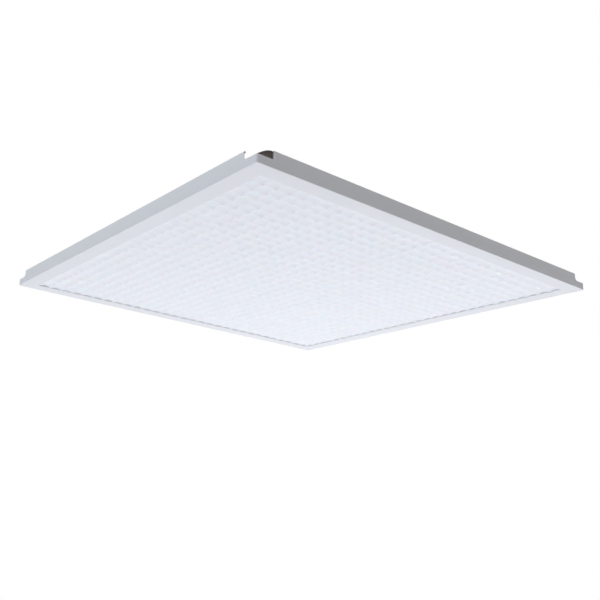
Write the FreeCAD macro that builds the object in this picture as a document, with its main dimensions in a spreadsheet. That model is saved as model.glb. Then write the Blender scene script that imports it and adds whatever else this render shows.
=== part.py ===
import FreeCAD, Part
import math
import os
import re
from typing import NamedTuple

import Sketcher
from FreeCAD import Placement, Rotation, Vector

# A recessed troffer light for a 600 mm ceiling grid, in millimetres.
# The frame of reference: z = 0 is the visible face of the bezel, +Z points up into the ceiling
# void, and the origin is the centre of that face. The lit side looks down.

SIZES = {
    # Face frame: one folded sheet with a bezel, four walls and a rolled hem
    "side": (595.0, "outer side of the square light"),
    "bezel": (22.5, "width of the visible band round the diffuser"),
    "steel": (0.7, "sheet of the frame and the pan"),
    "wall_height": (20.0, "height of the side walls"),
    "corner_round": (3.0, "outer radius of the upright corners"),
    "bend": (1.0, "outer radius of the bend from wall to bezel"),
    "lip_height": (9.5, "height of the low wall left at each corner"),
    "notch_length": (22.0, "length of the low wall from the corner"),
    "notch_round": (5.0, "fillet where the low wall meets the high one"),
    "hem": (2.4, "diameter of the rolled hem along each wall"),
    "hem_sheet": (0.6, "wall of the rolled hem"),
    "upstand": (2.4, "height of the turned-up inner edge of the bezel"),
    # Diffuser trays
    "tray_lap": (4.0, "reach of a tray over the upstand"),
    "tray_sheet": (1.5, "wall of a tray"),
    "tray_rim": (4.1, "height of the rim above the plate of a tray"),
    "seam_gap": (0.3, "gap between the two trays"),
    "field_clear": (0.4, "gap between the cells and the upstand"),
    "cell_depth": (1.5, "depth of a cell"),
    "ridge_foot": (10.0, "width of the foot of a ridge between two cells"),
    "channel_grip": (0.1, "gap between the seam channel and a rim"),
    "channel_lift": (0.3, "gap between the seam channel and the plates"),
    "channel_end": (3.0, "distance from the end of the seam channel to the opening"),
    # Back pan
    "pan_clear": (0.3, "gap between the tray rims and the pan"),
    "pan_inset": (3.0, "distance from the face's edge to the pan's flange"),
    "skirt_margin": (1.0, "gap between a tray rim and the foot of the skirt"),
    "skirt_run": (23.0, "inward run of the sloped skirt"),
    "pan_depth": (21.7, "rise from the flange to the pan's top"),
    "pan_round": (14.0, "corner radius at the foot of the skirt"),
    "pan_corner": (14.0, "side of the flange's cut corner"),
    "bead_width": (8.0, "width of a pressed bead"),
    "bead_length": (300.0, "length of a pressed bead"),
    "bead_height": (1.2, "height of a pressed bead"),
    # Supports of the pan
    "block_gap": (0.2, "gap between a corner block and the walls"),
    "block_length": (50.0, "reach of a corner block along the walls"),
    "seat_drop": (3.5, "depth of the clip's seat in a corner block"),
    "bracket_length": (44.0, "length of a side bracket"),
    "bracket_width": (14.0, "width of a side bracket"),
    "bracket_top": (24.0, "length of the raised part of a side bracket"),
    "bracket_sheet": (1.0, "sheet of the side brackets"),
    # Screws and rivets
    "screw_reach": (40.0, "distance of the outer pan screws from the corner"),
    "screw_inset": (10.0, "distance of the pan screws from the face's edge"),
    "screw_shank": (1.9, "radius of a screw's shank"),
    "screw_head": (3.6, "radius of a screw's head"),
    "screw_crown": (2.2, "height of a screw's head"),
    "screw_length": (5.5, "length of a screw's shank"),
    "rivet_shank": (1.6, "radius of a rivet's shank"),
    "rivet_head": (3.2, "radius of a rivet's head"),
    "rivet_crown": (1.3, "height of a rivet's head"),
    "hole_gap": (0.05, "radial gap of a shank in its hole"),
    # Swing clips
    "clip_pivot_along": (7.0, "pivot's distance from the wall's end"),
    "clip_pivot_inset": (8.0, "pivot's distance from the wall"),
    "clip_gap": (0.9, "gap between the wall and the blade"),
    "clip_sheet": (2.2, "thickness of the blade"),
    "clip_lift": (0.4, "gap between the low wall and the blade"),
    "clip_start": (2.0, "distance of the blade from the corner"),
    "clip_end_gap": (0.6, "gap between the blade and the high wall"),
    "clip_shoulder": (0.9, "height of the blade's low end"),
    "clip_arch": (25.6, "radius of the blade's arched top"),
    "clip_boss": (4.4, "radius of the clip's pivot boss"),
    "clip_rim": (1.7, "width of the raised rim on the blade"),
    "clip_recess": (0.6, "depth of the blade's recessed panel"),
    "pivot_gap": (0.07, "radial gap of a turning fit"),
    # Lit parts
    "board_margin": (23.5, "distance of the outer boards' middles from the pan's top edge"),
    "board_width": (18.0, "width of a board"),
    "board_end_gap": (5.5, "distance of a board's end from the pan's top edge"),
    "board_sheet": (1.2, "thickness of a board"),
    "led_end": (38.0, "distance of the last lamp from the board's end"),
    "reflector_sheet": (0.4, "thickness of the reflector"),
    "reflector_side": (20.0, "reach of the reflector beyond the outer boards' middles"),
    "reflector_end": (18.0, "reach of the reflector beyond the last lamps"),
    "chip": (3.0, "side of a lamp chip"),
    "chip_height": (0.6, "height of a lamp chip"),
    "optic_radius": (7.5, "radius of an optic"),
    "optic_foot": (1.5, "height of an optic's foot"),
    "optic_height": (6.0, "height of an optic"),
    "optic_pocket": (2.6, "radius of the pocket over the chip"),
    "optic_pocket_depth": (1.6, "depth of the pocket over the chip"),
    "optic_gap": (0.5, "gap between an optic and the reflector"),
    "plug_length": (8.0, "length of a board connector"),
    "plug_width": (7.0, "width of a board connector"),
    "plug_height": (4.0, "height of a board connector"),
    "plug_inset": (10.0, "distance of a connector's middle from the board's end"),
    "link_radius": (0.8, "radius of a wire"),
    "link_spread": (1.6, "half the distance between two wires of a pair"),
    # Driver box
    "box_width": (80.0, "width of the driver box"),
    "box_height": (36.0, "height of the driver box"),
    "box_steel": (0.8, "sheet of the driver box"),
    "box_rivet_inset": (14.0, "distance of the box's rivets from its ends and sides"),
    "lid_gap": (0.2, "gap between the box and its cover"),
    "skirt_gap": (0.4, "gap between the box and the cover's skirt"),
    "lid_skirt": (8.0, "depth of the cover's skirt"),
    "tab_length": (34.0, "length of the cover's finger tab"),
    "tab_reach": (7.0, "reach of the cover's finger tab"),
    "knuckle_radius": (2.9, "outer radius of a hinge knuckle"),
    "hinge_gap": (0.3, "gap beside a knuckle"),
    "pin_radius": (1.5, "radius of a hinge pin"),
    "lid_knuckle": (20.0, "length of a knuckle of the cover"),
    "box_knuckle": (10.0, "length of a knuckle of the box"),
    "hinge_inset": (62.0, "distance of a hinge's middle from the box's end"),
    "pin_end": (0.8, "length of the pin beyond its knuckles"),
    # Driver and its screws
    "driver_width": (42.0, "width of the driver"),
    "driver_length": (176.0, "length of the driver"),
    "driver_height": (26.0, "height of the driver"),
    "wire_space": (52.0, "length of the mains wires' way from the block to the driver"),
    "lead_space": (32.0, "distance from the driver's far foot to the lead's way down"),
    "driver_edge": (2.0, "chamfer along the driver"),
    "foot_length": (12.0, "length of a driver foot"),
    "foot_width": (22.0, "width of a driver foot"),
    "foot_sheet": (2.0, "thickness of a driver foot"),
    # Terminal block
    "block_width": (34.0, "width of the terminal block"),
    "block_depth": (20.0, "depth of the terminal block"),
    "block_height": (15.0, "height of the terminal block"),
    "block_space": (20.0, "distance from the box's near end to the terminal block"),
    "pole_pitch": (11.0, "distance between two poles"),
    "lever_width": (8.4, "width of a lever"),
    "lever_sheet": (2.8, "thickness of a lever"),
    "lever_length": (12.0, "length of a lever from its pivot"),
    "lever_pivot": (6.0, "distance of the levers' pivot from the far face"),
    "lever_pin": (0.9, "radius of a lever's pins"),
    "lever_pin_reach": (0.8, "length of a lever's pins"),
    "lever_gap": (0.3, "gap round a lever"),
    "entry": (3.6, "side of a square conductor entry"),
    "entry_depth": (9.0, "depth of a conductor entry"),
    "entry_height": (6.0, "height of the entries above the block's foot"),
    # Wires in the driver box
    "wire_radius": (1.3, "radius of a mains wire"),
    "wire_height": (8.0, "height of the wires' ends above the box's floor"),
    "wire_rise": (6.0, "rise of the wires to the driver"),
    "wire_spread": (5.0, "distance of the line and neutral wires from the middle at the driver"),
    "lead_offset": (6.0, "distance from the lead's way down to the connectors' middles"),
    "lead_inset": (18.0, "distance from the lead's way down to the box's far end"),
    "grommet_radius": (6.6, "outer radius of the lead's grommet"),
    "grommet_hole": (4.6, "radius of the hole through the grommet"),
    "grommet_lip": (1.2, "height of the grommet's lips"),
    # Earth stud
    "stud_across": (30.0, "stud's distance from the box's middle"),
    "stud_offset": (12.0, "distance of the stud from the terminal block, along the box"),
    "stud_radius": (2.0, "radius of the earth stud"),
    "stud_length": (11.0, "length of the earth stud"),
    "nut_radius": (4.0, "corner radius of the earth nut"),
    "nut_height": (3.2, "height of the earth nut"),
    "eyelet_sheet": (0.8, "thickness of the earth eyelet"),
    # Cable gland
    "gland_across": (-22.0, "gland's distance from the box's middle"),
    "gland_height": (18.0, "height of the gland above the pan"),
    "gland_bore": (4.5, "radius of the cable's way through the gland"),
    "gland_shank": (7.9, "radius of the gland's threaded shank"),
    "gland_inside": (11.0, "length of the shank inside the box"),
    "gland_hex": (12.0, "corner radius of the gland's hexagon"),
    "gland_hex_length": (6.0, "length of the gland's hexagon"),
    "gland_cap": (10.0, "radius of the gland's cap"),
    "gland_cap_length": (15.0, "length of the gland's cap"),
    "gland_nut_length": (5.0, "length of the gland's nut"),
    # Hangers
    "hang_side": (69.5, "distance of the hanging holes from the pan's side edges"),
    "hang_end": (48.5, "distance of the hanging holes from the pan's end edges"),
    "hang_hole": (3.2, "radius of a hanging hole"),
    "hang_sheet": (1.5, "sheet of a hanger"),
    "hang_width": (30.0, "width of a hanger"),
    "hang_flange": (18.0, "length of a hanger's foot and of its raised flange"),
    "hang_rise": (14.0, "rise of a hanger"),
    "hang_rivet_spread": (8.0, "distance of a hanger's rivets from its middle"),
}

CELLS_ACROSS_TRAY = 15
CELLS_ALONG_TRAY = 30
BOARDS = 6
LEDS_PER_BOARD = 6
RIVETS_PER_BOARD = 3
FED_BOARDS = (BOARDS // 2 - 1, BOARDS // 2)

doc = FreeCAD.newDocument("Troffer")
sheet = doc.addObject("Spreadsheet::Sheet", "Sizes")
for row, (alias, (size, note)) in enumerate(SIZES.items(), start=1):
    sheet.set(f"A{row}", alias)
    sheet.set(f"B{row}", str(size))
    sheet.set(f"C{row}", note)
    sheet.setAlias(f"B{row}", alias)
doc.recompute()

parts = []
cuts = []


# Formulas: the text of a size or place, written with the names above.


def formula(text):
    """The text with each name turned into a reference to its cell."""
    return re.sub(
        r"[a-z_]+",
        lambda word: f"Sizes.{word.group()}" if word.group() in SIZES else word.group(),
        text,
    )


def value(text):
    """The number that a formula comes to."""
    return float(sheet.evalExpression(formula(text)))


def bind(item, prop, text):
    """Ties a property of an object to a formula."""
    item.setExpression(prop, formula(text))


# Places that several parts share

HALF = "(side / 2)"
OPENING = "(side / 2 - bezel)"
WALL_INSIDE = "(side / 2 - steel)"
WALL_RUN = "(side / 2 - notch_length)"
TRAY_EDGE = f"({OPENING} + tray_lap)"
FIELD = f"({OPENING} - field_clear)"
PLATE_TOP = "(upstand + tray_sheet)"
RIM_TOP = f"({PLATE_TOP} + tray_rim)"
FLANGE = f"({RIM_TOP} + pan_clear)"
FLANGE_TOP = f"({FLANGE} + steel)"
PAN_TOP = f"({FLANGE} + pan_depth)"
PAN_UNDER = f"({PAN_TOP} - steel)"
BOARD_UNDER = f"({PAN_UNDER} - board_sheet)"
REFLECTOR_UNDER = f"({BOARD_UNDER} - reflector_sheet)"
SKIRT_FOOT = f"({TRAY_EDGE} - tray_sheet - skirt_margin)"
SKIRT_HEAD = f"({SKIRT_FOOT} - skirt_run)"
SKIRT_WALL = "(steel * sqrt(skirt_run^2 + pan_depth^2) / pan_depth)"
BOARD_LENGTH = f"(2 * ({SKIRT_HEAD} - board_end_gap))"
BOARD_PITCH = f"(2 * ({SKIRT_HEAD} - board_margin) / {BOARDS - 1})"
LED_PITCH = f"(({BOARD_LENGTH} - 2 * led_end) / {LEDS_PER_BOARD - 1})"
PLUG_ALONG = f"({BOARD_LENGTH} / 2 - plug_inset)"
LEAD_FAR = f"({PLUG_ALONG} - lead_offset)"
BOX_SIDE = "(box_width / 2)"
BOX_FAR = f"({LEAD_FAR} + lead_inset)"
DRIVER_FAR = f"({LEAD_FAR} - lead_space - foot_length)"
DRIVER_NEAR = f"({DRIVER_FAR} - driver_length)"
BLOCK_FAR = f"({DRIVER_NEAR} - wire_space)"
BLOCK_NEAR = f"({BLOCK_FAR} - block_depth)"
BOX_NEAR = f"({BLOCK_NEAR} - block_space)"
STUD_ALONG = f"({BLOCK_FAR} + stud_offset)"
HANG_ACROSS = f"({SKIRT_HEAD} - hang_side)"
HANG_ALONG = f"({SKIRT_HEAD} - hang_end)"
BOX_FLOOR = f"({PAN_TOP} + box_steel)"
BOX_TOP = f"({PAN_TOP} + box_height)"
LID_UNDER = f"({BOX_TOP} + lid_gap)"
LID_TOP = f"({LID_UNDER} + box_steel)"
HINGE_ACROSS = f"(-{BOX_SIDE} - knuckle_radius - hinge_gap)"
HINGE_HEIGHT = f"({LID_TOP} - knuckle_radius)"
WIRE_HEIGHT = f"({BOX_FLOOR} + wire_height)"
LEAD_HEIGHT = f"({BOX_FLOOR} + wire_height + wire_rise)"
PLUG_MIDDLE = f"({BOARD_UNDER} - plug_height / 2)"
BLOCK_TOP = f"({BOX_FLOOR} + block_height)"
LEVER_ALONG = f"({BLOCK_FAR} - lever_pivot)"
LEVER_HEIGHT = f"({BLOCK_TOP} - lever_sheet / 2 - lever_gap)"
CLIP_BOTTOM = "(lip_height + clip_lift)"
BLADE_OUTSIDE = "(steel + clip_gap)"
BLADE_INSIDE = f"({BLADE_OUTSIDE} + clip_sheet)"
BLADE_END = "(notch_length - clip_end_gap)"
BLOCK_SEAT = f"({FLANGE} - seat_drop)"
CHANNEL_HALF = "(seam_gap / 2 + tray_sheet + channel_grip)"


# Sketching


class Point(NamedTuple):
    """A corner of an outline. With a radius, an arc leads on from it: turn 1 is anticlockwise."""

    x: str
    y: str
    radius: str = ""
    turn: int = 0


class Circle(NamedTuple):
    """A full circle."""

    x: str
    y: str
    radius: str


def hold(sketch, kind, places, text):
    """Adds a dimension to a sketch and ties it to a formula."""
    index = sketch.addConstraint(Sketcher.Constraint(kind, *places, value(text)))
    bind(sketch, f"Constraints[{index}]", text)


def arc_between(start, finish, radius, turn):
    """The arc under half a turn from start to finish, anticlockwise for turn 1."""
    chord = finish - start
    rise = math.sqrt(max(radius**2 - (chord.Length / 2) ** 2, 0.0))
    left = Vector(-chord.y, chord.x, 0).normalize()
    centre = (start + finish) / 2 + left * rise * turn
    first, last = (start, finish) if turn > 0 else (finish, start)
    angles = [math.atan2(spot.y - centre.y, spot.x - centre.x) for spot in (first, last)]
    return Part.ArcOfCircle(Part.Circle(centre, Vector(0, 0, 1), radius), *angles)


def draw_outline(sketch, points):
    """Draws a closed outline whose corners and radii are tied to their formulas."""
    first = sketch.GeometryCount
    spots = [Vector(value(point.x), value(point.y), 0) for point in points]
    ends = []
    for index, point in enumerate(points):
        start = spots[index]
        finish = spots[(index + 1) % len(points)]
        if point.turn:
            edge = arc_between(start, finish, value(point.radius), point.turn)
        else:
            edge = Part.LineSegment(start, finish)
        sketch.addGeometry(edge, False)
        ends.append((2, 1) if point.turn < 0 else (1, 2))
    for index, point in enumerate(points):
        edge = first + index
        before = first + (index - 1) % len(points)
        start_end = ends[index][0]
        sketch.addConstraint(
            Sketcher.Constraint("Coincident", before, ends[index - 1][1], edge, start_end)
        )
        hold(sketch, "DistanceX", (-1, 1, edge, start_end), point.x)
        hold(sketch, "DistanceY", (-1, 1, edge, start_end), point.y)
        if point.turn:
            hold(sketch, "Radius", (edge,), point.radius)


def draw_circle(sketch, circle):
    """Draws a circle tied to its formulas."""
    centre = Vector(value(circle.x), value(circle.y), 0)
    edge = sketch.addGeometry(Part.Circle(centre, Vector(0, 0, 1), value(circle.radius)), False)
    hold(sketch, "DistanceX", (-1, 1, edge, 3), circle.x)
    hold(sketch, "DistanceY", (-1, 1, edge, 3), circle.y)
    hold(sketch, "Radius", (edge,), circle.radius)


def rectangle(left, right, low, high):
    """The outline of a rectangle."""
    return [Point(left, low), Point(right, low), Point(right, high), Point(left, high)]


def square(half):
    """The outline of a square about the middle."""
    return rectangle(f"-{half}", half, f"-{half}", half)


def rounded_rectangle(left, right, low, high, radius):
    """The outline of a rectangle with round corners."""
    return [
        Point(f"{left} + {radius}", low),
        Point(f"{right} - {radius}", low, radius, 1),
        Point(right, f"{low} + {radius}"),
        Point(right, f"{high} - {radius}", radius, 1),
        Point(f"{right} - {radius}", high),
        Point(f"{left} + {radius}", high, radius, 1),
        Point(left, f"{high} - {radius}"),
        Point(left, f"{low} + {radius}", radius, 1),
    ]


def rounded_square(half, radius):
    """The outline of a square about the middle, with round corners."""
    return rounded_rectangle(f"-{half}", half, f"-{half}", half, radius)


def slot(x, low, high, half_width):
    """The outline of a slot with round ends that runs along y."""
    return [
        Point(f"{x} + {half_width}", f"{low} + {half_width}"),
        Point(f"{x} + {half_width}", f"{high} - {half_width}", half_width, 1),
        Point(x, high, half_width, 1),
        Point(f"{x} - {half_width}", f"{high} - {half_width}"),
        Point(f"{x} - {half_width}", f"{low} + {half_width}", half_width, 1),
        Point(x, low, half_width, 1),
    ]


def hexagon(radius):
    """The outline of a hexagon about the middle."""
    rise = f"{radius} * sqrt(3) / 2"
    return [
        Point(radius, "0"),
        Point(f"{radius} / 2", rise),
        Point(f"-{radius} / 2", rise),
        Point(f"-{radius}", "0"),
        Point(f"-{radius} / 2", f"-{rise}"),
        Point(f"{radius} / 2", f"-{rise}"),
    ]


# Solid features

PLANES = {"XY": ("XY_Plane", 1), "XZ": ("XZ_Plane", -1), "YZ": ("YZ_Plane", 1)}


def new_body(label):
    """An empty body that becomes the part of that name."""
    body = doc.addObject("PartDesign::Body", label)
    body.Label = label
    return body


def sketch_on(body, plane, level, shapes):
    """A sketch on one of the body's own planes, moved along that plane's axis to a level."""
    role, sign = PLANES[plane]
    support = next(f for f in body.Origin.OriginFeatures if f.Role == role)
    sketch = body.newObject("Sketcher::SketchObject", f"{body.Label}_sketch")
    sketch.AttachmentSupport = [(support, "")]
    sketch.MapMode = "FlatFace"
    bind(sketch, "AttachmentOffset.Base.z", f"{sign} * ({level})")
    for shape in shapes:
        if isinstance(shape, Circle):
            draw_circle(sketch, shape)
        else:
            draw_outline(sketch, shape)
    return sketch


def slab(body, plane, level, thickness, *shapes):
    """Adds the shapes as a slab that starts at a level and grows along the plane's axis."""
    pad = body.newObject("PartDesign::Pad", f"{body.Label}_pad")
    pad.Profile = sketch_on(body, plane, level, shapes)
    pad.Reversed = PLANES[plane][1] < 0
    bind(pad, "Length", thickness)
    return pad


def cutout(body, plane, level, depth, *shapes):
    """Cuts the shapes out, from a level along the plane's axis."""
    pocket = body.newObject("PartDesign::Pocket", f"{body.Label}_pocket")
    pocket.Profile = sketch_on(body, plane, level, shapes)
    pocket.Reversed = PLANES[plane][1] > 0
    bind(pocket, "Length", depth)
    cuts.append(pocket)
    return pocket


def turned(body, points):
    """Adds a solid of revolution about z; each point is a radius and a height."""
    feature = body.newObject("PartDesign::Revolution", f"{body.Label}_turned")
    sketch = sketch_on(body, "XZ", "0", [points])
    feature.Profile = sketch
    feature.ReferenceAxis = (sketch, ["V_Axis"])
    feature.Angle = 360
    return feature


def loft(body, kind, foot_level, foot, head_level, head):
    """Adds or cuts the solid between two outlines at two levels."""
    lower = sketch_on(body, "XY", foot_level, [foot])
    upper = sketch_on(body, "XY", head_level, [head])
    feature = body.newObject(kind, f"{body.Label}_loft")
    feature.Profile = lower
    feature.Sections = [upper]
    return feature


def turned_round(body, features, count):
    """Repeats features about z and makes the result the body's tip."""
    pattern = body.newObject("PartDesign::PolarPattern", f"{body.Label}_pattern")
    pattern.Originals = features
    axis = next(f for f in body.Origin.OriginFeatures if f.Role == "Z_Axis")
    pattern.Axis = (axis, [""])
    pattern.Angle = 360
    pattern.Occurrences = count
    body.Tip = pattern
    return pattern


def part(item):
    """Takes an object into the list of parts to write."""
    parts.append(item)
    return item


def place(item, x="0", y="0", z="0", rotation=None):
    """Ties an object's place to formulas and turns it."""
    item.Placement = Placement(Vector(value(x), value(y), value(z)), rotation or Rotation())
    bind(item, "Placement.Base.x", x)
    bind(item, "Placement.Base.y", y)
    bind(item, "Placement.Base.z", z)
    return item


def box(label, x, y, z):
    """A box from three pairs of formulas."""
    item = doc.addObject("Part::Box", label)
    item.Label = label
    for prop, (low, high) in zip(("Length", "Width", "Height"), (x, y, z)):
        bind(item, prop, f"({high}) - ({low})")
    return place(item, x[0], y[0], z[0])


def group(label, solids):
    """One part of separate equal solids, set from shapes that code has placed."""
    item = doc.addObject("Part::Feature", label)
    item.Label = label
    item.Shape = Part.makeCompound(solids)
    item.Placement = Placement()
    return part(item)


def copied(master, spots, turns=None):
    """Copies of a master's shape at spots, each turned about z."""
    doc.recompute()
    solids = []
    for index, spot in enumerate(spots):
        solid = master.Shape.copy()
        turn = Rotation(Vector(0, 0, 1), turns[index] if turns else 0)
        solid.Placement = Placement(spot, turn).multiply(solid.Placement)
        solids.append(solid)
    return solids


# Face frame


def make_face_frame():
    """The folded frame: bezel, low walls all round, high walls between the notches, hem."""
    body = new_body("face_frame")
    slab(body, "XY", "0", "steel", rounded_square(HALF, "corner_round"), square(OPENING))
    slab(
        body,
        "XY",
        "0",
        "lip_height",
        rounded_square(HALF, "corner_round"),
        rounded_square(WALL_INSIDE, "(corner_round - steel)"),
    )
    slab(body, "XY", "0", "upstand", square(f"({OPENING} + steel)"), square(OPENING))
    run_out = f"({WALL_RUN} + notch_round)"
    shoulder = "(lip_height + notch_round)"
    hem_middle = "(wall_height - hem / 2)"
    wall = slab(
        body,
        "XZ",
        f"-{HALF}",
        "steel",
        [
            Point(f"-{run_out}", "steel"),
            Point(run_out, "steel"),
            Point(run_out, "lip_height", "notch_round", -1),
            Point(WALL_RUN, shoulder),
            Point(WALL_RUN, hem_middle),
            Point(f"-{WALL_RUN}", hem_middle),
            Point(f"-{WALL_RUN}", shoulder, "notch_round", -1),
            Point(f"-{run_out}", "lip_height"),
        ],
    )
    hem_across = f"(-{HALF} + hem / 2)"
    hem = slab(
        body,
        "YZ",
        f"-{WALL_RUN}",
        f"2 * {WALL_RUN}",
        Circle(hem_across, hem_middle, "hem / 2"),
        Circle(hem_across, hem_middle, "hem / 2 - hem_sheet"),
    )
    pattern = turned_round(body, [wall, hem], 4)
    doc.recompute()
    reach = value(HALF) - value("corner_round") - 0.01
    names = []
    for index, edge in enumerate(pattern.Shape.Edges, start=1):
        limits = edge.BoundBox
        outside = max(abs(limits.Center.x), abs(limits.Center.y)) > reach
        if outside and limits.ZMax < 1e-4:
            names.append(f"Edge{index}")
    fold = body.newObject("PartDesign::Fillet", "face_frame_bend")
    fold.Base = (pattern, names)
    bind(fold, "Radius", "bend")
    body.Tip = fold
    part(body)


# Diffuser trays


def comb(label, starts, low, high, along_x):
    """A ridged sheet: sharp crests at the starts, flat valleys between, drawn out from low to high."""
    top = value("upstand") + value("tray_sheet") / 2
    root = value("upstand")
    crest = root - value("cell_depth")
    edge = value("ridge_foot") / 2
    line = [(starts[0], top), (starts[0], crest)]
    for start, finish in zip(starts, starts[1:]):
        line += [(start + edge, root), (finish - edge, root), (finish, crest)]
    line.append((starts[-1], top))
    if along_x:
        corners = [Vector(low, spot, height) for spot, height in line]
        pull = Vector(high - low, 0, 0)
    else:
        corners = [Vector(spot, low, height) for spot, height in line]
        pull = Vector(0, high - low, 0)
    item = doc.addObject("Part::Feature", label)
    item.Label = label
    item.Shape = Part.Face(Part.makePolygon(corners + corners[:1])).extrude(pull)
    item.Placement = Placement()
    return item


def make_trays():
    """Two moulded trays, mirror images, with a waffle of hollow cells on their visible face."""
    field = value(FIELD)
    seam = value("seam_gap / 2")
    pitch_across = field / CELLS_ACROSS_TRAY
    pitch_along = 2 * field / CELLS_ALONG_TRAY
    across = [seam] + [pitch_across * count for count in range(1, CELLS_ACROSS_TRAY + 1)]
    along = [pitch_along * count - field for count in range(CELLS_ALONG_TRAY + 1)]
    waffle = doc.addObject("Part::Fuse", "waffle")
    waffle.Base = comb("ridges_across", across, -field, field, along_x=False)
    waffle.Tool = comb("ridges_along", along, seam, field, along_x=True)
    shell = doc.addObject("Part::Cut", "tray_shell")
    shell.Base = box(
        "tray_outside",
        ("seam_gap / 2", TRAY_EDGE),
        (f"-{TRAY_EDGE}", TRAY_EDGE),
        ("upstand", RIM_TOP),
    )
    shell.Tool = box(
        "tray_inside",
        ("seam_gap / 2 + tray_sheet", f"{TRAY_EDGE} - tray_sheet"),
        (f"-{TRAY_EDGE} + tray_sheet", f"{TRAY_EDGE} - tray_sheet"),
        (PLATE_TOP, f"{RIM_TOP} + tray_sheet"),
    )
    right = doc.addObject("Part::Fuse", "diffuser_right")
    right.Label = "diffuser_right"
    right.Base = shell
    right.Tool = waffle
    left = doc.addObject("Part::Mirroring", "diffuser_left")
    left.Label = "diffuser_left"
    left.Source = right
    left.Normal = Vector(1, 0, 0)
    part(right)
    part(left)


def make_seam_channel():
    """The folded channel over the rims of the two trays."""
    body = new_body("seam_channel")
    outside = f"({CHANNEL_HALF} + steel)"
    low = f"({PLATE_TOP} + channel_lift)"
    end = f"({OPENING} - channel_end)"
    slab(
        body,
        "XZ",
        f"-{end}",
        f"2 * {end}",
        [
            Point(f"-{outside}", low),
            Point(f"-{CHANNEL_HALF}", low),
            Point(f"-{CHANNEL_HALF}", RIM_TOP),
            Point(CHANNEL_HALF, RIM_TOP),
            Point(CHANNEL_HALF, low),
            Point(outside, low),
            Point(outside, f"{RIM_TOP} + steel"),
            Point(f"-{outside}", f"{RIM_TOP} + steel"),
        ],
    )
    part(body)


# Back pan and its fasteners


def board_across(board):
    """Where a board's middle lies."""
    return f"({board - (BOARDS - 1) / 2} * {BOARD_PITCH})"


def led_along(led):
    """Where a lamp lies along its board."""
    return f"({led - (LEDS_PER_BOARD - 1) / 2} * {LED_PITCH})"


def rivet_along(rivet):
    """Where a rivet lies along its board: in the middle between two lamps."""
    return f"({2 * rivet - (RIVETS_PER_BOARD - 1)} * {LED_PITCH})"


def board_rivet_places():
    """All places of the boards' rivets."""
    return [
        (board_across(board), rivet_along(rivet))
        for board in range(BOARDS)
        for rivet in range(RIVETS_PER_BOARD)
    ]


def box_rivet_places():
    """The places of the driver box's rivets."""
    across = f"({BOX_SIDE} - box_rivet_inset)"
    ends = (f"({BOX_NEAR} + box_rivet_inset)", f"({BOX_FAR} - box_rivet_inset)")
    return [(sign + across, end) for sign in ("-", "") for end in ends]


def hanger_rivet_places():
    """The places of the hangers' rivets."""
    across = f"({HANG_ACROSS} - hang_flange)"
    places = []
    for side in ("-", ""):
        for end in ("-", ""):
            for spread in ("-", "+"):
                along = f"({end}{HANG_ALONG} {spread} hang_rivet_spread)"
                places.append((side + across, along))
    return places


def pan_screw_places():
    """The places of the pan's screws: three along each side."""
    inset = f"({HALF} - screw_inset)"
    reach = f"({HALF} - screw_reach)"
    places = []
    for along in (f"-{reach}", "0", reach):
        places += [(along, f"-{inset}"), (inset, along), (along, inset), (f"-{inset}", along)]
    return places


def circles(places, radius):
    """Circles of one radius at all places."""
    return [Circle(x, y, radius) for x, y in places]


def bead_outlines(inset):
    """The outlines of the pressed beads between the outer boards."""
    half = f"(bead_width / 2 - {inset})"
    end = f"(bead_length / 2 - {inset})"
    return [
        slot(f"({step} * {BOARD_PITCH})", f"-{end}", end, half) for step in (-2, -1, 1, 2)
    ]


def make_back_pan():
    """The pressed pan: flange, sloped skirt, flat top with beads, and the holes for what it carries."""
    body = new_body("back_pan")
    slab(body, "XY", FLANGE, "steel", square(f"({HALF} - pan_inset)"))
    loft(
        body,
        "PartDesign::AdditiveLoft",
        FLANGE,
        rounded_square(SKIRT_FOOT, "pan_round"),
        PAN_TOP,
        rounded_square(SKIRT_HEAD, "pan_round"),
    )
    slab(body, "XY", PAN_TOP, "bead_height", *bead_outlines("0"))
    loft(
        body,
        "PartDesign::SubtractiveLoft",
        FLANGE,
        rounded_square(f"({SKIRT_FOOT} - {SKIRT_WALL})", f"(pan_round - {SKIRT_WALL})"),
        PAN_UNDER,
        rounded_square(
            f"({SKIRT_HEAD} + skirt_run * steel / pan_depth - {SKIRT_WALL})",
            f"(pan_round - {SKIRT_WALL})",
        ),
    )
    cutout(body, "XY", PAN_UNDER, "bead_height", *bead_outlines("steel"))
    edge = f"({HALF} - pan_inset)"
    inner = f"({HALF} - pan_corner)"
    corners = [
        rectangle(inner, edge, inner, edge),
        rectangle(f"-{edge}", f"-{inner}", inner, edge),
        rectangle(f"-{edge}", f"-{inner}", f"-{edge}", f"-{inner}"),
        rectangle(inner, edge, f"-{edge}", f"-{inner}"),
    ]
    cutout(body, "XY", FLANGE, "steel", *corners)
    cutout(
        body, "XY", FLANGE, "steel", *circles(pan_screw_places(), "(screw_shank + hole_gap)")
    )
    rivet_holes = board_rivet_places() + box_rivet_places() + hanger_rivet_places()
    cutout(
        body,
        "XY",
        PAN_UNDER,
        "steel",
        *circles(rivet_holes, "(rivet_shank + hole_gap)"),
        Circle("0", LEAD_FAR, "(grommet_radius + hole_gap)"),
    )
    part(body)


def spots(places, height):
    """Points in space from places and a height, all formulas."""
    return [Vector(value(x), value(y), value(height)) for x, y in places]


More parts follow.
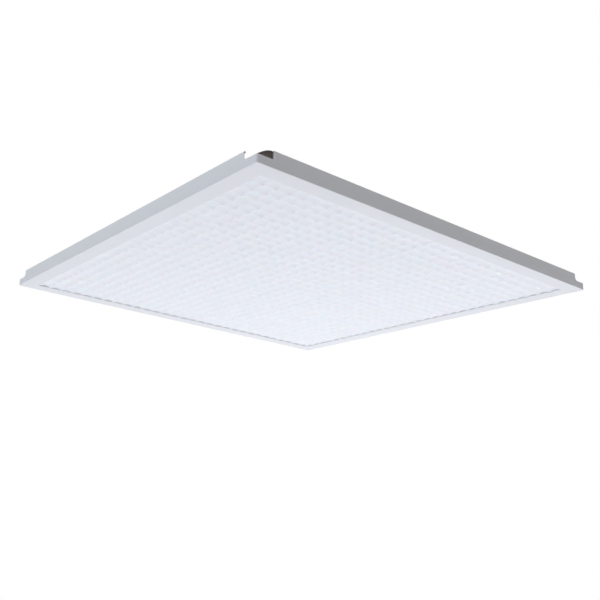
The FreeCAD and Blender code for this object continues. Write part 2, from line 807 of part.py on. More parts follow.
def make_screw(label, length, shank="screw_shank"):
    """A pan-head screw that points down from z = 0, with a slot across its head."""
    body = new_body(label)
    dome = "((screw_head^2 + screw_crown^2) / (2 * screw_crown))"
    turned(
        body,
        [
            Point("0", f"-{length}"),
            Point(shank, f"-{length}"),
            Point(shank, "0"),
            Point("screw_head", "0", dome, 1),
            Point("0", "screw_crown"),
        ],
    )
    cutout(
        body,
        "XY",
        "screw_crown / 2",
        "screw_crown",
        rectangle("-screw_head", "screw_head", "-screw_crown / 5", "screw_crown / 5"),
    )
    return body


def make_rivet(label, grip, tail):
    """A rivet: a domed head above z = 0, a shank through its grip and a spread tail."""
    body = new_body(label)
    dome = "((rivet_head^2 + rivet_crown^2) / (2 * rivet_crown))"
    spread = "(rivet_head - rivet_crown / 3)"
    turned(
        body,
        [
            Point("0", f"-{grip} - {tail}"),
            Point(spread, f"-{grip} - {tail}"),
            Point(spread, f"-{grip}"),
            Point("rivet_shank", f"-{grip}"),
            Point("rivet_shank", "0"),
            Point("rivet_head", "0", dome, 1),
            Point("0", "rivet_crown"),
        ],
    )
    return body


def make_pan_fasteners():
    """The screws of the pan and the rivets of the boards, the box and the hangers."""
    screw = make_screw("pan_screw_master", "screw_length")
    group("pan_screws", copied(screw, spots(pan_screw_places(), FLANGE_TOP)))
    board_rivet = make_rivet(
        "board_rivet_master", f"({PAN_TOP} - {REFLECTOR_UNDER})", "rivet_crown"
    )
    group("board_rivets", copied(board_rivet, spots(board_rivet_places(), PAN_TOP)))
    box_rivet = make_rivet("box_rivet_master", "(box_steel + steel)", "(rivet_crown / 2)")
    group("box_rivets", copied(box_rivet, spots(box_rivet_places(), BOX_FLOOR)))
    hanger_rivet = make_rivet(
        "hanger_rivet_master", "(hang_sheet + steel)", "(rivet_crown / 2)"
    )
    height = f"({PAN_TOP} + hang_sheet)"
    group("hanger_rivets", copied(hanger_rivet, spots(hanger_rivet_places(), height)))


# What carries the pan in the frame. These are drawn with a corner, or the middle of a side, of
# the face as their own origin and the side along their own x.

CORNERS = {
    "near": ("-side / 2", "-side / 2", 0),
    "right": ("side / 2", "-side / 2", 90),
    "far": ("side / 2", "side / 2", 180),
    "left": ("-side / 2", "side / 2", 270),
}
SIDES = {
    "front": ("0", "-side / 2", 0),
    "right": ("side / 2", "0", 90),
    "back": ("0", "side / 2", 180),
    "left": ("-side / 2", "0", 270),
}


def at_corner(body, corner, height="0"):
    """Places a body that is drawn from a corner of the face."""
    x, y, turn = CORNERS[corner]
    return place(body, x, y, height, Rotation(Vector(0, 0, 1), turn))


def make_corner_block(corner):
    """An L-shaped moulded block in the frame's corner, with a low seat for a swing clip."""
    body = new_body(f"corner_block_{corner}")
    near = "(steel + block_gap)"
    deep = "(bezel - tray_lap - block_gap)"
    far = "block_length"
    seat = "pan_corner"
    slab(
        body,
        "XY",
        "steel",
        f"{BLOCK_SEAT} - steel",
        [
            Point(near, f"{near} + corner_round"),
            Point(f"{near} + corner_round", near),
            Point(far, near),
            Point(far, deep),
            Point(deep, deep),
            Point(deep, far),
            Point(near, far),
        ],
    )
    slab(
        body,
        "XY",
        BLOCK_SEAT,
        f"{FLANGE} - {BLOCK_SEAT}",
        [
            Point(seat, near),
            Point(far, near),
            Point(far, deep),
            Point(deep, deep),
            Point(deep, far),
            Point(near, far),
            Point(near, seat),
            Point(seat, seat),
        ],
    )
    hole = "(screw_shank + hole_gap)"
    cutout(
        body,
        "XY",
        "2 * steel",
        FLANGE,
        Circle("screw_reach", "screw_inset", hole),
        Circle("screw_inset", "screw_reach", hole),
        Circle("clip_pivot_along", "clip_pivot_inset", hole),
    )
    part(at_corner(body, corner))


def make_side_bracket(side):
    """A folded bracket, shaped like a hat, under the middle of one side of the pan's flange."""
    body = new_body(f"side_bracket_{side}")
    foot = "(bracket_length / 2)"
    crown = "(bracket_top / 2)"
    inside = f"({crown} - bracket_sheet)"
    foot_top = "(steel + bracket_sheet)"
    crown_under = f"({FLANGE} - bracket_sheet)"
    middle = "screw_inset"
    slab(
        body,
        "XZ",
        f"{middle} - bracket_width / 2",
        "bracket_width",
        [
            Point(f"-{foot}", "steel"),
            Point(f"-{inside}", "steel"),
            Point(f"-{inside}", crown_under),
            Point(inside, crown_under),
            Point(inside, "steel"),
            Point(foot, "steel"),
            Point(foot, foot_top),
            Point(crown, foot_top),
            Point(crown, FLANGE),
            Point(f"-{crown}", FLANGE),
            Point(f"-{crown}", foot_top),
            Point(f"-{foot}", foot_top),
        ],
    )
    cutout(
        body,
        "XY",
        crown_under,
        "bracket_sheet",
        Circle("0", middle, "(screw_shank + hole_gap)"),
    )
    x, y, turn = SIDES[side]
    part(place(body, x, y, "0", Rotation(Vector(0, 0, 1), turn)))


# Swing clips


def blade_outline(rim, level):
    """The blade's outline, or its recessed panel's, drawn in by a rim. The top is one arch."""
    start = f"(clip_start + {rim})"
    end = f"({BLADE_END} - {rim})"
    corner = f"(notch_round - {rim})"
    shoulder = f"({CLIP_BOTTOM} + clip_shoulder + {level})"
    top = (
        f"({shoulder} - sqrt((clip_arch - {rim})^2 - ({end} - {start})^2)"
        f" + (clip_arch - {rim}))"
    )
    return [
        Point(start, f"{CLIP_BOTTOM} + {rim}"),
        Point(f"{end} - {corner}", f"{CLIP_BOTTOM} + {rim}", corner, 1),
        Point(end, f"{CLIP_BOTTOM} + {rim} + {corner}"),
        Point(end, top, f"(clip_arch - {rim})", 1),
        Point(start, shoulder),
    ]


def make_clip(label, corner):
    """A moulded clip: an arched blade behind the notch and a boss that turns on its screw."""
    body = new_body(label)
    boss_top = f"({CLIP_BOTTOM} + clip_shoulder)"
    boss_foot = f"({BLOCK_SEAT} + pivot_gap)"
    slab(body, "XZ", BLADE_OUTSIDE, "clip_sheet", blade_outline("0", "0"))
    slab(
        body,
        "XY",
        boss_foot,
        f"{boss_top} - {boss_foot}",
        Circle("clip_pivot_along", "clip_pivot_inset", "clip_boss"),
    )
    slab(
        body,
        "XY",
        CLIP_BOTTOM,
        f"{boss_top} - {CLIP_BOTTOM}",
        rectangle(
            "clip_pivot_along - clip_boss",
            "clip_pivot_along + clip_boss",
            BLADE_OUTSIDE,
            "clip_pivot_inset",
        ),
    )
    cutout(
        body,
        "XY",
        boss_foot,
        FLANGE,
        Circle("clip_pivot_along", "clip_pivot_inset", "(screw_shank + pivot_gap)"),
    )
    cutout(
        body,
        "XZ",
        BLADE_OUTSIDE,
        "clip_recess",
        blade_outline("clip_rim", "(clip_rim / 2)"),
    )
    part(at_corner(body, corner))


def make_clip_pivots():
    """The two screws that the swing clips turn on."""
    height = f"({CLIP_BOTTOM} + clip_shoulder + pivot_gap)"
    screw = make_screw("clip_pivot_master", f"({height} - 3 * steel)")
    across = f"({HALF} - clip_pivot_along)"
    along = f"({HALF} - clip_pivot_inset)"
    places = [(f"-{across}", f"-{along}"), (across, along)]
    group("clip_pivots", copied(screw, spots(places, height)))


# Lit parts


def led_places():
    """All places of the lamps."""
    return [
        (board_across(board), led_along(led))
        for board in range(BOARDS)
        for led in range(LEDS_PER_BOARD)
    ]


def make_lit_parts():
    """Boards, lamps with their optics, the reflector, and the connectors and wires between boards."""
    rivet_hole = "(rivet_shank + hole_gap)"
    for board in range(BOARDS):
        body = new_body(f"led_board_{board + 1}")
        middle = board_across(board)
        holes = [(middle, rivet_along(rivet)) for rivet in range(RIVETS_PER_BOARD)]
        slab(
            body,
            "XY",
            BOARD_UNDER,
            "board_sheet",
            rectangle(
                f"{middle} - board_width / 2",
                f"{middle} + board_width / 2",
                f"-{BOARD_LENGTH} / 2",
                f"{BOARD_LENGTH} / 2",
            ),
            *circles(holes, rivet_hole),
        )
        part(body)
    reflector = new_body("reflector_sheet")
    side_edge = f"({board_across(BOARDS - 1)} + reflector_side)"
    end_edge = f"({led_along(LEDS_PER_BOARD - 1)} + reflector_end)"
    slab(
        reflector,
        "XY",
        REFLECTOR_UNDER,
        "reflector_sheet",
        rectangle(f"-{side_edge}", side_edge, f"-{end_edge}", end_edge),
        *circles(led_places(), "(optic_radius + optic_gap)"),
        *circles(board_rivet_places(), rivet_hole),
    )
    part(reflector)

    chip = box(
        "chip_master",
        ("-chip / 2", "chip / 2"),
        ("-chip / 2", "chip / 2"),
        ("-chip_height", "0"),
    )
    group("led_chips", copied(chip, spots(led_places(), BOARD_UNDER)))

    optic = new_body("optic_master")
    dome = "(optic_height - optic_foot)"
    turned(
        optic,
        [
            Point("optic_pocket", "0"),
            Point("optic_pocket", "-optic_pocket_depth"),
            Point("0", "-optic_pocket_depth"),
            Point("0", "-optic_height", f"((optic_radius^2 + {dome}^2) / (2 * {dome}))", 1),
            Point("optic_radius", "-optic_foot"),
            Point("optic_radius", "0"),
        ],
    )
    group("led_optics", copied(optic, spots(led_places(), BOARD_UNDER)))

    plug = box(
        "connector_master",
        ("-plug_width / 2", "plug_width / 2"),
        ("-plug_length / 2", "plug_length / 2"),
        ("-plug_height", "0"),
    )
    plugs = [(board_across(board), PLUG_ALONG) for board in range(BOARDS)]
    group("board_connectors", copied(plug, spots(plugs, BOARD_UNDER)))

    wires = []
    start_gap = value("plug_width / 2")
    for board in range(BOARDS - 1):
        if board == FED_BOARDS[0]:
            continue
        start = value(board_across(board)) + start_gap
        finish = value(board_across(board + 1)) - start_gap
        for sign in (-1, 1):
            along = value(PLUG_ALONG) + sign * value("link_spread")
            foot = Vector(start, along, value(PLUG_MIDDLE))
            length = finish - start
            wires.append(Part.makeCylinder(value("link_radius"), length, foot, Vector(1, 0, 0)))
    group("link_wires", wires)


# Driver box, its cover and the hinge


def hinge_middles():
    """Where the two hinges' middles lie along the box."""
    return (f"({BOX_NEAR} + hinge_inset)", f"({BOX_FAR} - hinge_inset)")


def knuckle(body, start, length, leaf_low, leaf_edge):
    """One rolled knuckle and the leaf that joins it to its sheet."""
    slab(body, "XZ", start, length, Circle(HINGE_ACROSS, HINGE_HEIGHT, "knuckle_radius"))
    slab(
        body,
        "XZ",
        start,
        length,
        rectangle(HINGE_ACROSS, leaf_edge, leaf_low, f"{leaf_low} + box_steel"),
    )


def bore_knuckles(body):
    """Cuts the pin's way through all knuckles of a body."""
    cutout(
        body,
        "XZ",
        BOX_NEAR,
        f"{BOX_FAR} - {BOX_NEAR}",
        Circle(HINGE_ACROSS, HINGE_HEIGHT, "(pin_radius + pivot_gap)"),
    )


def make_driver_box():
    """The open folded box on the pan, with the holes of what it holds and its hinge knuckles."""
    body = new_body("driver_box")
    slab(
        body,
        "XY",
        PAN_TOP,
        "box_height",
        rectangle(f"-{BOX_SIDE}", BOX_SIDE, BOX_NEAR, BOX_FAR),
    )
    cutout(
        body,
        "XY",
        BOX_FLOOR,
        "box_height",
        rectangle(
            f"-{BOX_SIDE} + box_steel",
            f"{BOX_SIDE} - box_steel",
            f"{BOX_NEAR} + box_steel",
            f"{BOX_FAR} - box_steel",
        ),
    )
    for middle in hinge_middles():
        half_lid = "(lid_knuckle / 2 + hinge_gap)"
        for start in (f"{middle} - {half_lid} - box_knuckle", f"{middle} + {half_lid}"):
            knuckle(
                body,
                start,
                "box_knuckle",
                f"({HINGE_HEIGHT} - knuckle_radius)",
                f"-{BOX_SIDE} + box_steel / 2",
            )
    bore_knuckles(body)
    cutout(
        body,
        "XY",
        PAN_TOP,
        "box_steel",
        *circles(box_rivet_places(), "(rivet_shank + hole_gap)"),
        *circles(driver_screw_places(), "(screw_shank + hole_gap)"),
        Circle("0", LEAD_FAR, "(grommet_radius + hole_gap)"),
        Circle("stud_across", STUD_ALONG, "(stud_radius + hole_gap)"),
        Circle("0", TERMINAL_SCREW, "(screw_shank + hole_gap)"),
    )
    cutout(
        body,
        "XZ",
        BOX_NEAR,
        "box_steel",
        Circle("gland_across", f"{PAN_TOP} + gland_height", "(gland_shank + 2 * hole_gap)"),
    )
    part(body)


def make_driver_cover():
    """The cover: a plate with a skirt on three sides, a finger tab and two hinge knuckles."""
    body = new_body("driver_cover")
    side = f"({BOX_SIDE} + skirt_gap + box_steel)"
    near = f"({BOX_NEAR} - skirt_gap - box_steel)"
    far = f"({BOX_FAR} + skirt_gap + box_steel)"
    slab(
        body,
        "XY",
        f"{LID_TOP} - lid_skirt",
        "lid_skirt",
        rectangle(f"-{BOX_SIDE}", side, near, far),
    )
    cutout(
        body,
        "XY",
        f"{LID_TOP} - lid_skirt",
        "lid_skirt - box_steel",
        rectangle(
            f"-{BOX_SIDE}",
            f"{side} - box_steel",
            f"{near} + box_steel",
            f"{far} - box_steel",
        ),
    )
    middle = f"(({BOX_NEAR} + {BOX_FAR}) / 2)"
    slab(
        body,
        "XY",
        f"{LID_TOP} - lid_skirt",
        "box_steel",
        rounded_rectangle(
            f"{side} - box_steel / 2",
            f"{side} + tab_reach",
            f"{middle} - tab_length / 2",
            f"{middle} + tab_length / 2",
            "(tab_reach / 3)",
        ),
    )
    for hinge in hinge_middles():
        knuckle(
            body,
            f"{hinge} - lid_knuckle / 2",
            "lid_knuckle",
            LID_UNDER,
            f"-{BOX_SIDE} + box_steel",
        )
    bore_knuckles(body)
    part(body)


def make_hinge_pins():
    """The two pins that the cover turns on."""
    length = value("lid_knuckle + 2 * hinge_gap + 2 * box_knuckle + 2 * pin_end")
    pins = []
    for middle in hinge_middles():
        foot = Vector(value(HINGE_ACROSS), value(middle) - length / 2, value(HINGE_HEIGHT))
        pins.append(Part.makeCylinder(value("pin_radius"), length, foot, Vector(0, 1, 0)))
    group("hinge_pins", pins)


# Driver, terminal block and wires


def driver_screw_places():
    """The places of the screws in the driver's feet."""
    return [
        ("0", f"({DRIVER_NEAR} - foot_length / 2)"),
        ("0", f"({DRIVER_FAR} + foot_length / 2)"),
    ]


def make_driver():
    """The driver: a chamfered case on two feet."""
    body = new_body("led_driver")
    half = "(driver_width / 2)"
    top = f"({BOX_FLOOR} + driver_height)"
    slab(
        body,
        "XZ",
        DRIVER_NEAR,
        "driver_length",
        [
            Point(f"-{half}", BOX_FLOOR),
            Point(half, BOX_FLOOR),
            Point(half, f"{top} - driver_edge"),
            Point(f"{half} - driver_edge", top),
            Point(f"-{half} + driver_edge", top),
            Point(f"-{half}", f"{top} - driver_edge"),
        ],
    )
    slab(
        body,
        "XY",
        BOX_FLOOR,
        "foot_sheet",
        rectangle(
            "-foot_width / 2",
            "foot_width / 2",
            f"{DRIVER_NEAR} - foot_length",
            f"{DRIVER_FAR} + foot_length",
        ),
    )
    cutout(
        body,
        "XY",
        BOX_FLOOR,
        "foot_sheet",
        *circles(driver_screw_places(), "(screw_shank + hole_gap)"),
    )
    part(body)
    screw = make_screw("driver_screw_master", "(foot_sheet + box_steel)")
    height = f"({BOX_FLOOR} + foot_sheet)"
    group("driver_screws", copied(screw, spots(driver_screw_places(), height)))


TERMINAL_SCREW = f"({BLOCK_FAR} + screw_head + lever_gap)"
POLES = {"line": -1, "neutral": 0, "earth": 1}


def pole_across(pole):
    """Where a pole's middle lies."""
    return f"({POLES[pole]} * pole_pitch)"


def make_terminal_block():
    """The three-pole block: lever recesses on top, square conductor entries, a screwed foot."""
    body = new_body("terminal_block")
    half = "(block_width / 2)"
    slab(
        body,
        "XY",
        BOX_FLOOR,
        "block_height",
        rectangle(f"-{half}", half, BLOCK_NEAR, BLOCK_FAR),
    )
    foot = "(screw_head + 2 * lever_gap)"
    slab(
        body,
        "XY",
        BOX_FLOOR,
        "foot_sheet",
        rectangle(f"-{foot}", foot, BLOCK_NEAR, f"{TERMINAL_SCREW} + {foot}"),
    )
    cutout(
        body,
        "XY",
        BOX_FLOOR,
        "foot_sheet",
        Circle("0", TERMINAL_SCREW, "(screw_shank + hole_gap)"),
    )
    slot_half = "(lever_width / 2 + lever_gap)"
    floor = f"({LEVER_HEIGHT} - lever_sheet / 2 - lever_gap)"
    recesses = [
        rectangle(
            f"{pole_across(pole)} - {slot_half}",
            f"{pole_across(pole)} + {slot_half}",
            f"{LEVER_ALONG} - lever_length - lever_gap",
            f"{LEVER_ALONG} + lever_sheet / 2 + lever_gap",
        )
        for pole in POLES
    ]
    cutout(body, "XY", floor, f"{BLOCK_TOP} - {floor} + lever_gap", *recesses)
    pin_reach = "(pole_pitch + lever_width / 2 + lever_pin_reach + lever_gap)"
    cutout(
        body,
        "YZ",
        f"-{pin_reach}",
        f"2 * {pin_reach}",
        Circle(LEVER_ALONG, LEVER_HEIGHT, "(lever_pin + pivot_gap)"),
    )
    entry_low = f"({BOX_FLOOR} + entry_height - entry / 2)"
    entries = [
        rectangle(
            f"{pole_across(pole)} - entry / 2",
            f"{pole_across(pole)} + entry / 2",
            entry_low,
            f"{entry_low} + entry",
        )
        for pole in POLES
    ]
    cutout(body, "XZ", BLOCK_NEAR, "entry_depth", *entries)
    part(body)
    screw = make_screw("terminal_screw_master", "(foot_sheet + box_steel)")
    height = f"({BOX_FLOOR} + foot_sheet)"
    group("terminal_screw", copied(screw, spots([("0", TERMINAL_SCREW)], height)))


def make_lever(pole):
    """One lever: a flat tongue with a round root, and a pin on each side."""
    body = new_body(f"{pole}_lever")
    half = "(lever_sheet / 2)"
    middle = pole_across(pole)
    slab(
        body,
        "YZ",
        f"{middle} - lever_width / 2",
        "lever_width",
        [
            Point(LEVER_ALONG, f"{LEVER_HEIGHT} - {half}", half, 1),
            Point(f"{LEVER_ALONG} + {half}", LEVER_HEIGHT, half, 1),
            Point(LEVER_ALONG, f"{LEVER_HEIGHT} + {half}"),
            Point(f"{LEVER_ALONG} - lever_length", f"{LEVER_HEIGHT} + {half}"),
            Point(f"{LEVER_ALONG} - lever_length", f"{LEVER_HEIGHT} - {half} / 2"),
            Point(f"{LEVER_ALONG} - lever_length + {half}", f"{LEVER_HEIGHT} - {half}"),
        ],
    )
    slab(
        body,
        "YZ",
        f"{middle} - lever_width / 2 - lever_pin_reach",
        "lever_width + 2 * lever_pin_reach",
        Circle(LEVER_ALONG, LEVER_HEIGHT, "lever_pin"),
    )
    part(body)


def tube(label, route, radius):
    """A round wire along straight runs joined by tangent arcs, each as large as its runs allow."""
    points = [Vector(*(value(text) for text in point)) for point in route]
    edges = []
    start = points[0]
    for before, corner, after in zip(points, points[1:], points[2:]):
        inward = (corner - before).normalize()
        outward = (after - corner).normalize()
        half_turn = inward.getAngle(outward) / 2
        shorter = min((corner - before).Length, (after - corner).Length)
        setback = 0.45 * shorter
        print(f"{label}: bend radius {setback / math.tan(half_turn):.1f} mm")
        enter = corner - inward * setback
        leave = corner + outward * setback
        bisector = (outward - inward).normalize()
        depth = setback * (1 / math.cos(half_turn) - 1) / math.tan(half_turn)
        edges.append(Part.LineSegment(start, enter).toShape())
        edges.append(Part.Arc(enter, corner + bisector * depth, leave).toShape())
        start = leave
    edges.append(Part.LineSegment(start, points[-1]).toShape())
    path = Part.Wire(edges)
    direction = (points[1] - points[0]).normalize()
    ring = Part.Wire(Part.Circle(points[0], direction, value(radius)).toShape())
    solid = path.makePipeShell([ring], True, False)
    expected = math.pi * value(radius) ** 2 * path.Length
    if abs(solid.Volume - expected) > 0.01 * expected:
        raise ValueError(f"{label}: the tube's volume is {solid.Volume}, not {expected}")
    return solid


def make_wires():
    """The mains wires from the block to the driver and the stud, and the driver's output leads."""
    middle = f"(({BLOCK_FAR} + {DRIVER_NEAR}) / 2 + screw_head)"
    for name, sign in (("line", -1), ("neutral", 1)):
        across = f"({sign} * wire_spread)"
        start = pole_across("line") if name == "line" else f"({pole_across('neutral')} + wire_spread / 2)"
        route = [
            (start, BLOCK_FAR, WIRE_HEIGHT),
            (start, f"{BLOCK_FAR} + ({middle} - {BLOCK_FAR}) / 2", WIRE_HEIGHT),
            (across, middle, f"({WIRE_HEIGHT} + {LEAD_HEIGHT}) / 2"),
            (across, f"({middle} + {DRIVER_NEAR}) / 2", LEAD_HEIGHT),
            (across, DRIVER_NEAR, LEAD_HEIGHT),
        ]
        group(f"{name}_wire", [tube(f"{name}_wire", route, "wire_radius")])
    stud_eyelet = f"({BOX_FLOOR} + eyelet_sheet / 2 + wire_radius)"
    earth = pole_across("earth")
    eyelet_edge = "(stud_across - nut_radius)"
    route = [
        (earth, BLOCK_FAR, f"{BOX_FLOOR} + 3 * wire_radius"),
        (earth, f"({BLOCK_FAR} + {STUD_ALONG}) / 2", f"{BOX_FLOOR} + 3 * wire_radius"),
        (f"({earth} + {eyelet_edge}) / 2", STUD_ALONG, stud_eyelet),
        (eyelet_edge, STUD_ALONG, stud_eyelet),
    ]
    group("earth_wire", [tube("earth_wire", route, "wire_radius")])

    leads = []
    for board, side in zip(FED_BOARDS, (-1, 1)):
        across = f"({side} * link_spread)"
        plug_side = f"({board_across(board)} - ({side}) * plug_width / 2)"
        for sign in (-1, 1):
            level = f"({LEAD_HEIGHT} + ({sign}) * link_spread)"
            down = f"({LEAD_FAR} + ({sign}) * link_spread)"
            plug_along = f"({PLUG_ALONG} + ({sign}) * link_spread)"
            route = [
                (across, DRIVER_FAR, level),
                (across, f"({DRIVER_FAR} + {down}) / 2", level),
                (across, down, f"({level} + {PAN_TOP}) / 2"),
                (across, down, PLUG_MIDDLE),
                (f"{plug_side} / 2", plug_along, PLUG_MIDDLE),
                (plug_side, plug_along, PLUG_MIDDLE),
            ]
            leads.append(tube("output_leads", route, "link_radius"))
    group("output_leads", leads)


def make_grommet():
    """The rubber grommet in the lead's way through the box and the pan."""
    body = new_body("lead_grommet")
    grip = "(box_steel + steel)"
    lip = "(grommet_radius + grommet_lip)"
    turned(
        body,
        [
            Point("grommet_hole", "-grommet_lip"),
            Point(lip, "-grommet_lip"),
            Point(lip, "0"),
            Point("grommet_radius", "0"),
            Point("grommet_radius", grip),
            Point(lip, grip),
            Point(lip, f"{grip} + grommet_lip"),
            Point("grommet_hole", f"{grip} + grommet_lip"),
        ],
    )
    part(place(body, "0", LEAD_FAR, PAN_UNDER))


def make_earth_stud():
    """The earth stud through the box's floor, the eyelet on it and its nut."""
    stud = new_body("earth_stud")
    turned(
        stud,
        [
            Point("0", "0"),
            Point("stud_radius", "0"),
            Point("stud_radius", "box_steel + stud_length"),
            Point("0", "box_steel + stud_length"),
        ],
    )
    part(place(stud, "stud_across", STUD_ALONG, PAN_TOP))
    nut = new_body("earth_nut")
    hole = Circle("0", "0", "(stud_radius + hole_gap)")
    slab(nut, "XY", "0", "eyelet_sheet", Circle("0", "0", "nut_radius"), hole)
    slab(nut, "XY", "eyelet_sheet", "nut_height", hexagon("nut_radius"), hole)
    part(place(nut, "stud_across", STUD_ALONG, BOX_FLOOR))


# Gland: drawn along z, with the face of the box's wall at z = 0 and the way out upwards


def at_gland(body):
    """Places a body of the gland in the near wall of the box, pointing out along -Y."""
    height = f"{PAN_TOP} + gland_height"
    turn = Rotation(Vector(1, 0, 0), 90)
    return place(body, "gland_across", BOX_NEAR, height, turn)


def make_gland():
    """The cable gland and the nut that holds it from inside."""
    gland = new_body("cable_gland")
    cap_end = "(gland_hex_length + gland_cap_length)"
    turned(
        gland,
        [
            Point("gland_bore", "-gland_inside"),
            Point("gland_shank", "-gland_inside"),
            Point("gland_shank", "0"),
            Point("gland_cap", "0"),
            Point("gland_cap", f"{cap_end} - gland_cap / 2"),
            Point("(gland_cap + gland_bore) / 2", cap_end),
            Point("gland_bore", cap_end),
        ],
    )
    bore = Circle("0", "0", "gland_bore")
    slab(gland, "XY", "0", "gland_hex_length", hexagon("gland_hex"), bore)
    part(at_gland(gland))
    nut = new_body("gland_nut")
    slab(
        nut,
        "XY",
        "-box_steel - gland_nut_length",
        "gland_nut_length",
        hexagon("gland_hex"),
        Circle("0", "0", "(gland_shank + hole_gap)"),
    )
    part(at_gland(nut))


# Hangers: drawn with the hanging hole as their own origin


def make_hanger(label, x, y, turn):
    """A Z-shaped bracket: a foot on the pan, a web and a raised flange with the hanging hole."""
    body = new_body(label)
    web = "(-hang_flange / 2)"
    tip = "(hang_flange / 2)"
    heel = f"({web} - hang_flange)"
    slab(
        body,
        "XZ",
        "-hang_width / 2",
        "hang_width",
        [
            Point(heel, "0"),
            Point(web, "0"),
            Point(web, "hang_rise - hang_sheet"),
            Point(tip, "hang_rise - hang_sheet"),
            Point(tip, "hang_rise"),
            Point(f"{web} - hang_sheet", "hang_rise"),
            Point(f"{web} - hang_sheet", "hang_sheet"),
            Point(heel, "hang_sheet"),
        ],
    )
    cutout(
        body,
        "XY",
        "hang_rise - hang_sheet",
        "hang_sheet",
        Circle("0", "0", "hang_hole"),
    )
    cutout(
        body,
        "XY",
        "0",
        "hang_sheet",
        Circle("-hang_flange", "-hang_rivet_spread", "(rivet_shank + hole_gap)"),
        Circle("-hang_flange", "hang_rivet_spread", "(rivet_shank + hole_gap)"),
    )
    part(place(body, x, y, PAN_TOP, Rotation(Vector(0, 0, 1), turn)))


def make_hangers():
    """Four hangers, two on each side, with their feet towards the middle."""
    for side, across, turn in (("right", "", 0), ("left", "-", 180)):
        for end, along in (("front", "-"), ("back", "")):
            label = f"hanger_{side}_{end}"
            make_hanger(label, f"{across}{HANG_ACROSS}", f"{along}{HANG_ALONG}", turn)


# The whole light


def check_model():
    """Stops the run if an object failed, a cut took nothing away or a part is not sound."""
    doc.recompute()
    for item in doc.Objects:
        if "Invalid" in item.State or "Error" in item.State:
            raise ValueError(f"{item.Label} failed: {item.State}")
    for cut in cuts:
        if cut.Shape.Volume > cut.BaseFeature.Shape.Volume - 1e-3:
            raise ValueError(f"{cut.Label} of {cut.getParentGeoFeatureGroup().Label} cut nothing")
    for item in parts:
        if item.Shape.isNull() or not item.Shape.isValid():
            raise ValueError(f"{item.Label} is not a valid shape")


def write_parts():
    """Writes each part to its own file."""
    os.makedirs("parts", exist_ok=True)
    for item in parts:
        item.Shape.exportStep(f"parts/{item.Label}.step")
        limits = item.Shape.BoundBox
        print(
            f"{item.Label}: {len(item.Shape.Solids)} solids,"
            f" x {limits.XMin:.1f} to {limits.XMax:.1f},"
            f" y {limits.YMin:.1f} to {limits.YMax:.1f},"
            f" z {limits.ZMin:.1f} to {limits.ZMax:.1f}"
        )


make_face_frame()
make_trays()
make_seam_channel()
make_back_pan()
make_pan_fasteners()
for corner_name in CORNERS:
    make_corner_block(corner_name)
for side_name in SIDES:
    make_side_bracket(side_name)
make_clip("near_clip", "near")
make_clip("far_clip", "far")
make_clip_pivots()
make_lit_parts()
make_driver_box()
make_driver_cover()
make_hinge_pins()
make_driver()
make_terminal_block()
for pole_name in POLES:
    make_lever(pole_name)
make_wires()
make_grommet()
make_earth_stud()
make_gland()
make_hangers()
check_model()
write_parts()
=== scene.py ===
"""The looks of a recessed troffer light: folded frame, moulded trays, pressed pan and fittings."""

import logging
import math
from contextlib import contextmanager
from dataclasses import dataclass
from enum import Enum
from typing import Any, Callable, Iterator, Sequence

import bmesh
import bpy
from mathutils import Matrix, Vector


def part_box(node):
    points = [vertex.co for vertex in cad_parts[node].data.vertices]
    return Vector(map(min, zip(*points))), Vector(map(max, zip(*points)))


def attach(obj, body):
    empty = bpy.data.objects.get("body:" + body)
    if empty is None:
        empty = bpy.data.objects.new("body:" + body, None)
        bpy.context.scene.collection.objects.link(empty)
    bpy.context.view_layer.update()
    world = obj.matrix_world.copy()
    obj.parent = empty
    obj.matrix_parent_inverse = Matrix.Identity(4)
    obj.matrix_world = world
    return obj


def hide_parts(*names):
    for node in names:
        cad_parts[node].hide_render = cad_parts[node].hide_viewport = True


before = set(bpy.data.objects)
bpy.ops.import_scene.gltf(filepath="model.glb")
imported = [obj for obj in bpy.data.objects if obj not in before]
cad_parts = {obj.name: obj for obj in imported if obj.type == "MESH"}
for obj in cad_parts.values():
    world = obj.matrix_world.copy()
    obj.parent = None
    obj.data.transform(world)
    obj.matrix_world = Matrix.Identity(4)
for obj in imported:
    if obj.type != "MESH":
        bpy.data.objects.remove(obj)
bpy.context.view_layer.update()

MM = 0.001
TINY = 1e-5
LOG = logging.getLogger("troffer")

Colour = tuple[float, float, float]


# Modelling


class Kind(Enum):
    """What a selection in edit mode is made of."""

    POINT = "VERT"
    EDGE = "EDGE"
    FACE = "FACE"


class Axis(Enum):
    """The direction that a rod lies along, as the turn that lays it there."""

    X = (0.0, math.pi / 2, 0.0)
    Y = (math.pi / 2, 0.0, 0.0)
    Z = (0.0, 0.0, 0.0)


Test = Callable[[Vector, Any], bool]


def take(*pieces: bpy.types.Object) -> None:
    """Selects these pieces and nothing else, and makes the first one active.

    Args:
        pieces: The pieces to select.
    """
    bpy.ops.object.select_all(action="DESELECT")
    for piece in pieces:
        piece.select_set(True)
    bpy.context.view_layer.objects.active = pieces[0]


@contextmanager
def editing(piece: bpy.types.Object) -> Iterator[None]:
    """Holds a piece in edit mode with nothing on it selected.

    Args:
        piece: The mesh to edit.

    Yields:
        Nothing.
    """
    take(piece)
    bpy.ops.object.mode_set(mode="EDIT")
    bpy.ops.mesh.select_all(action="DESELECT")
    yield
    bpy.ops.object.mode_set(mode="OBJECT")


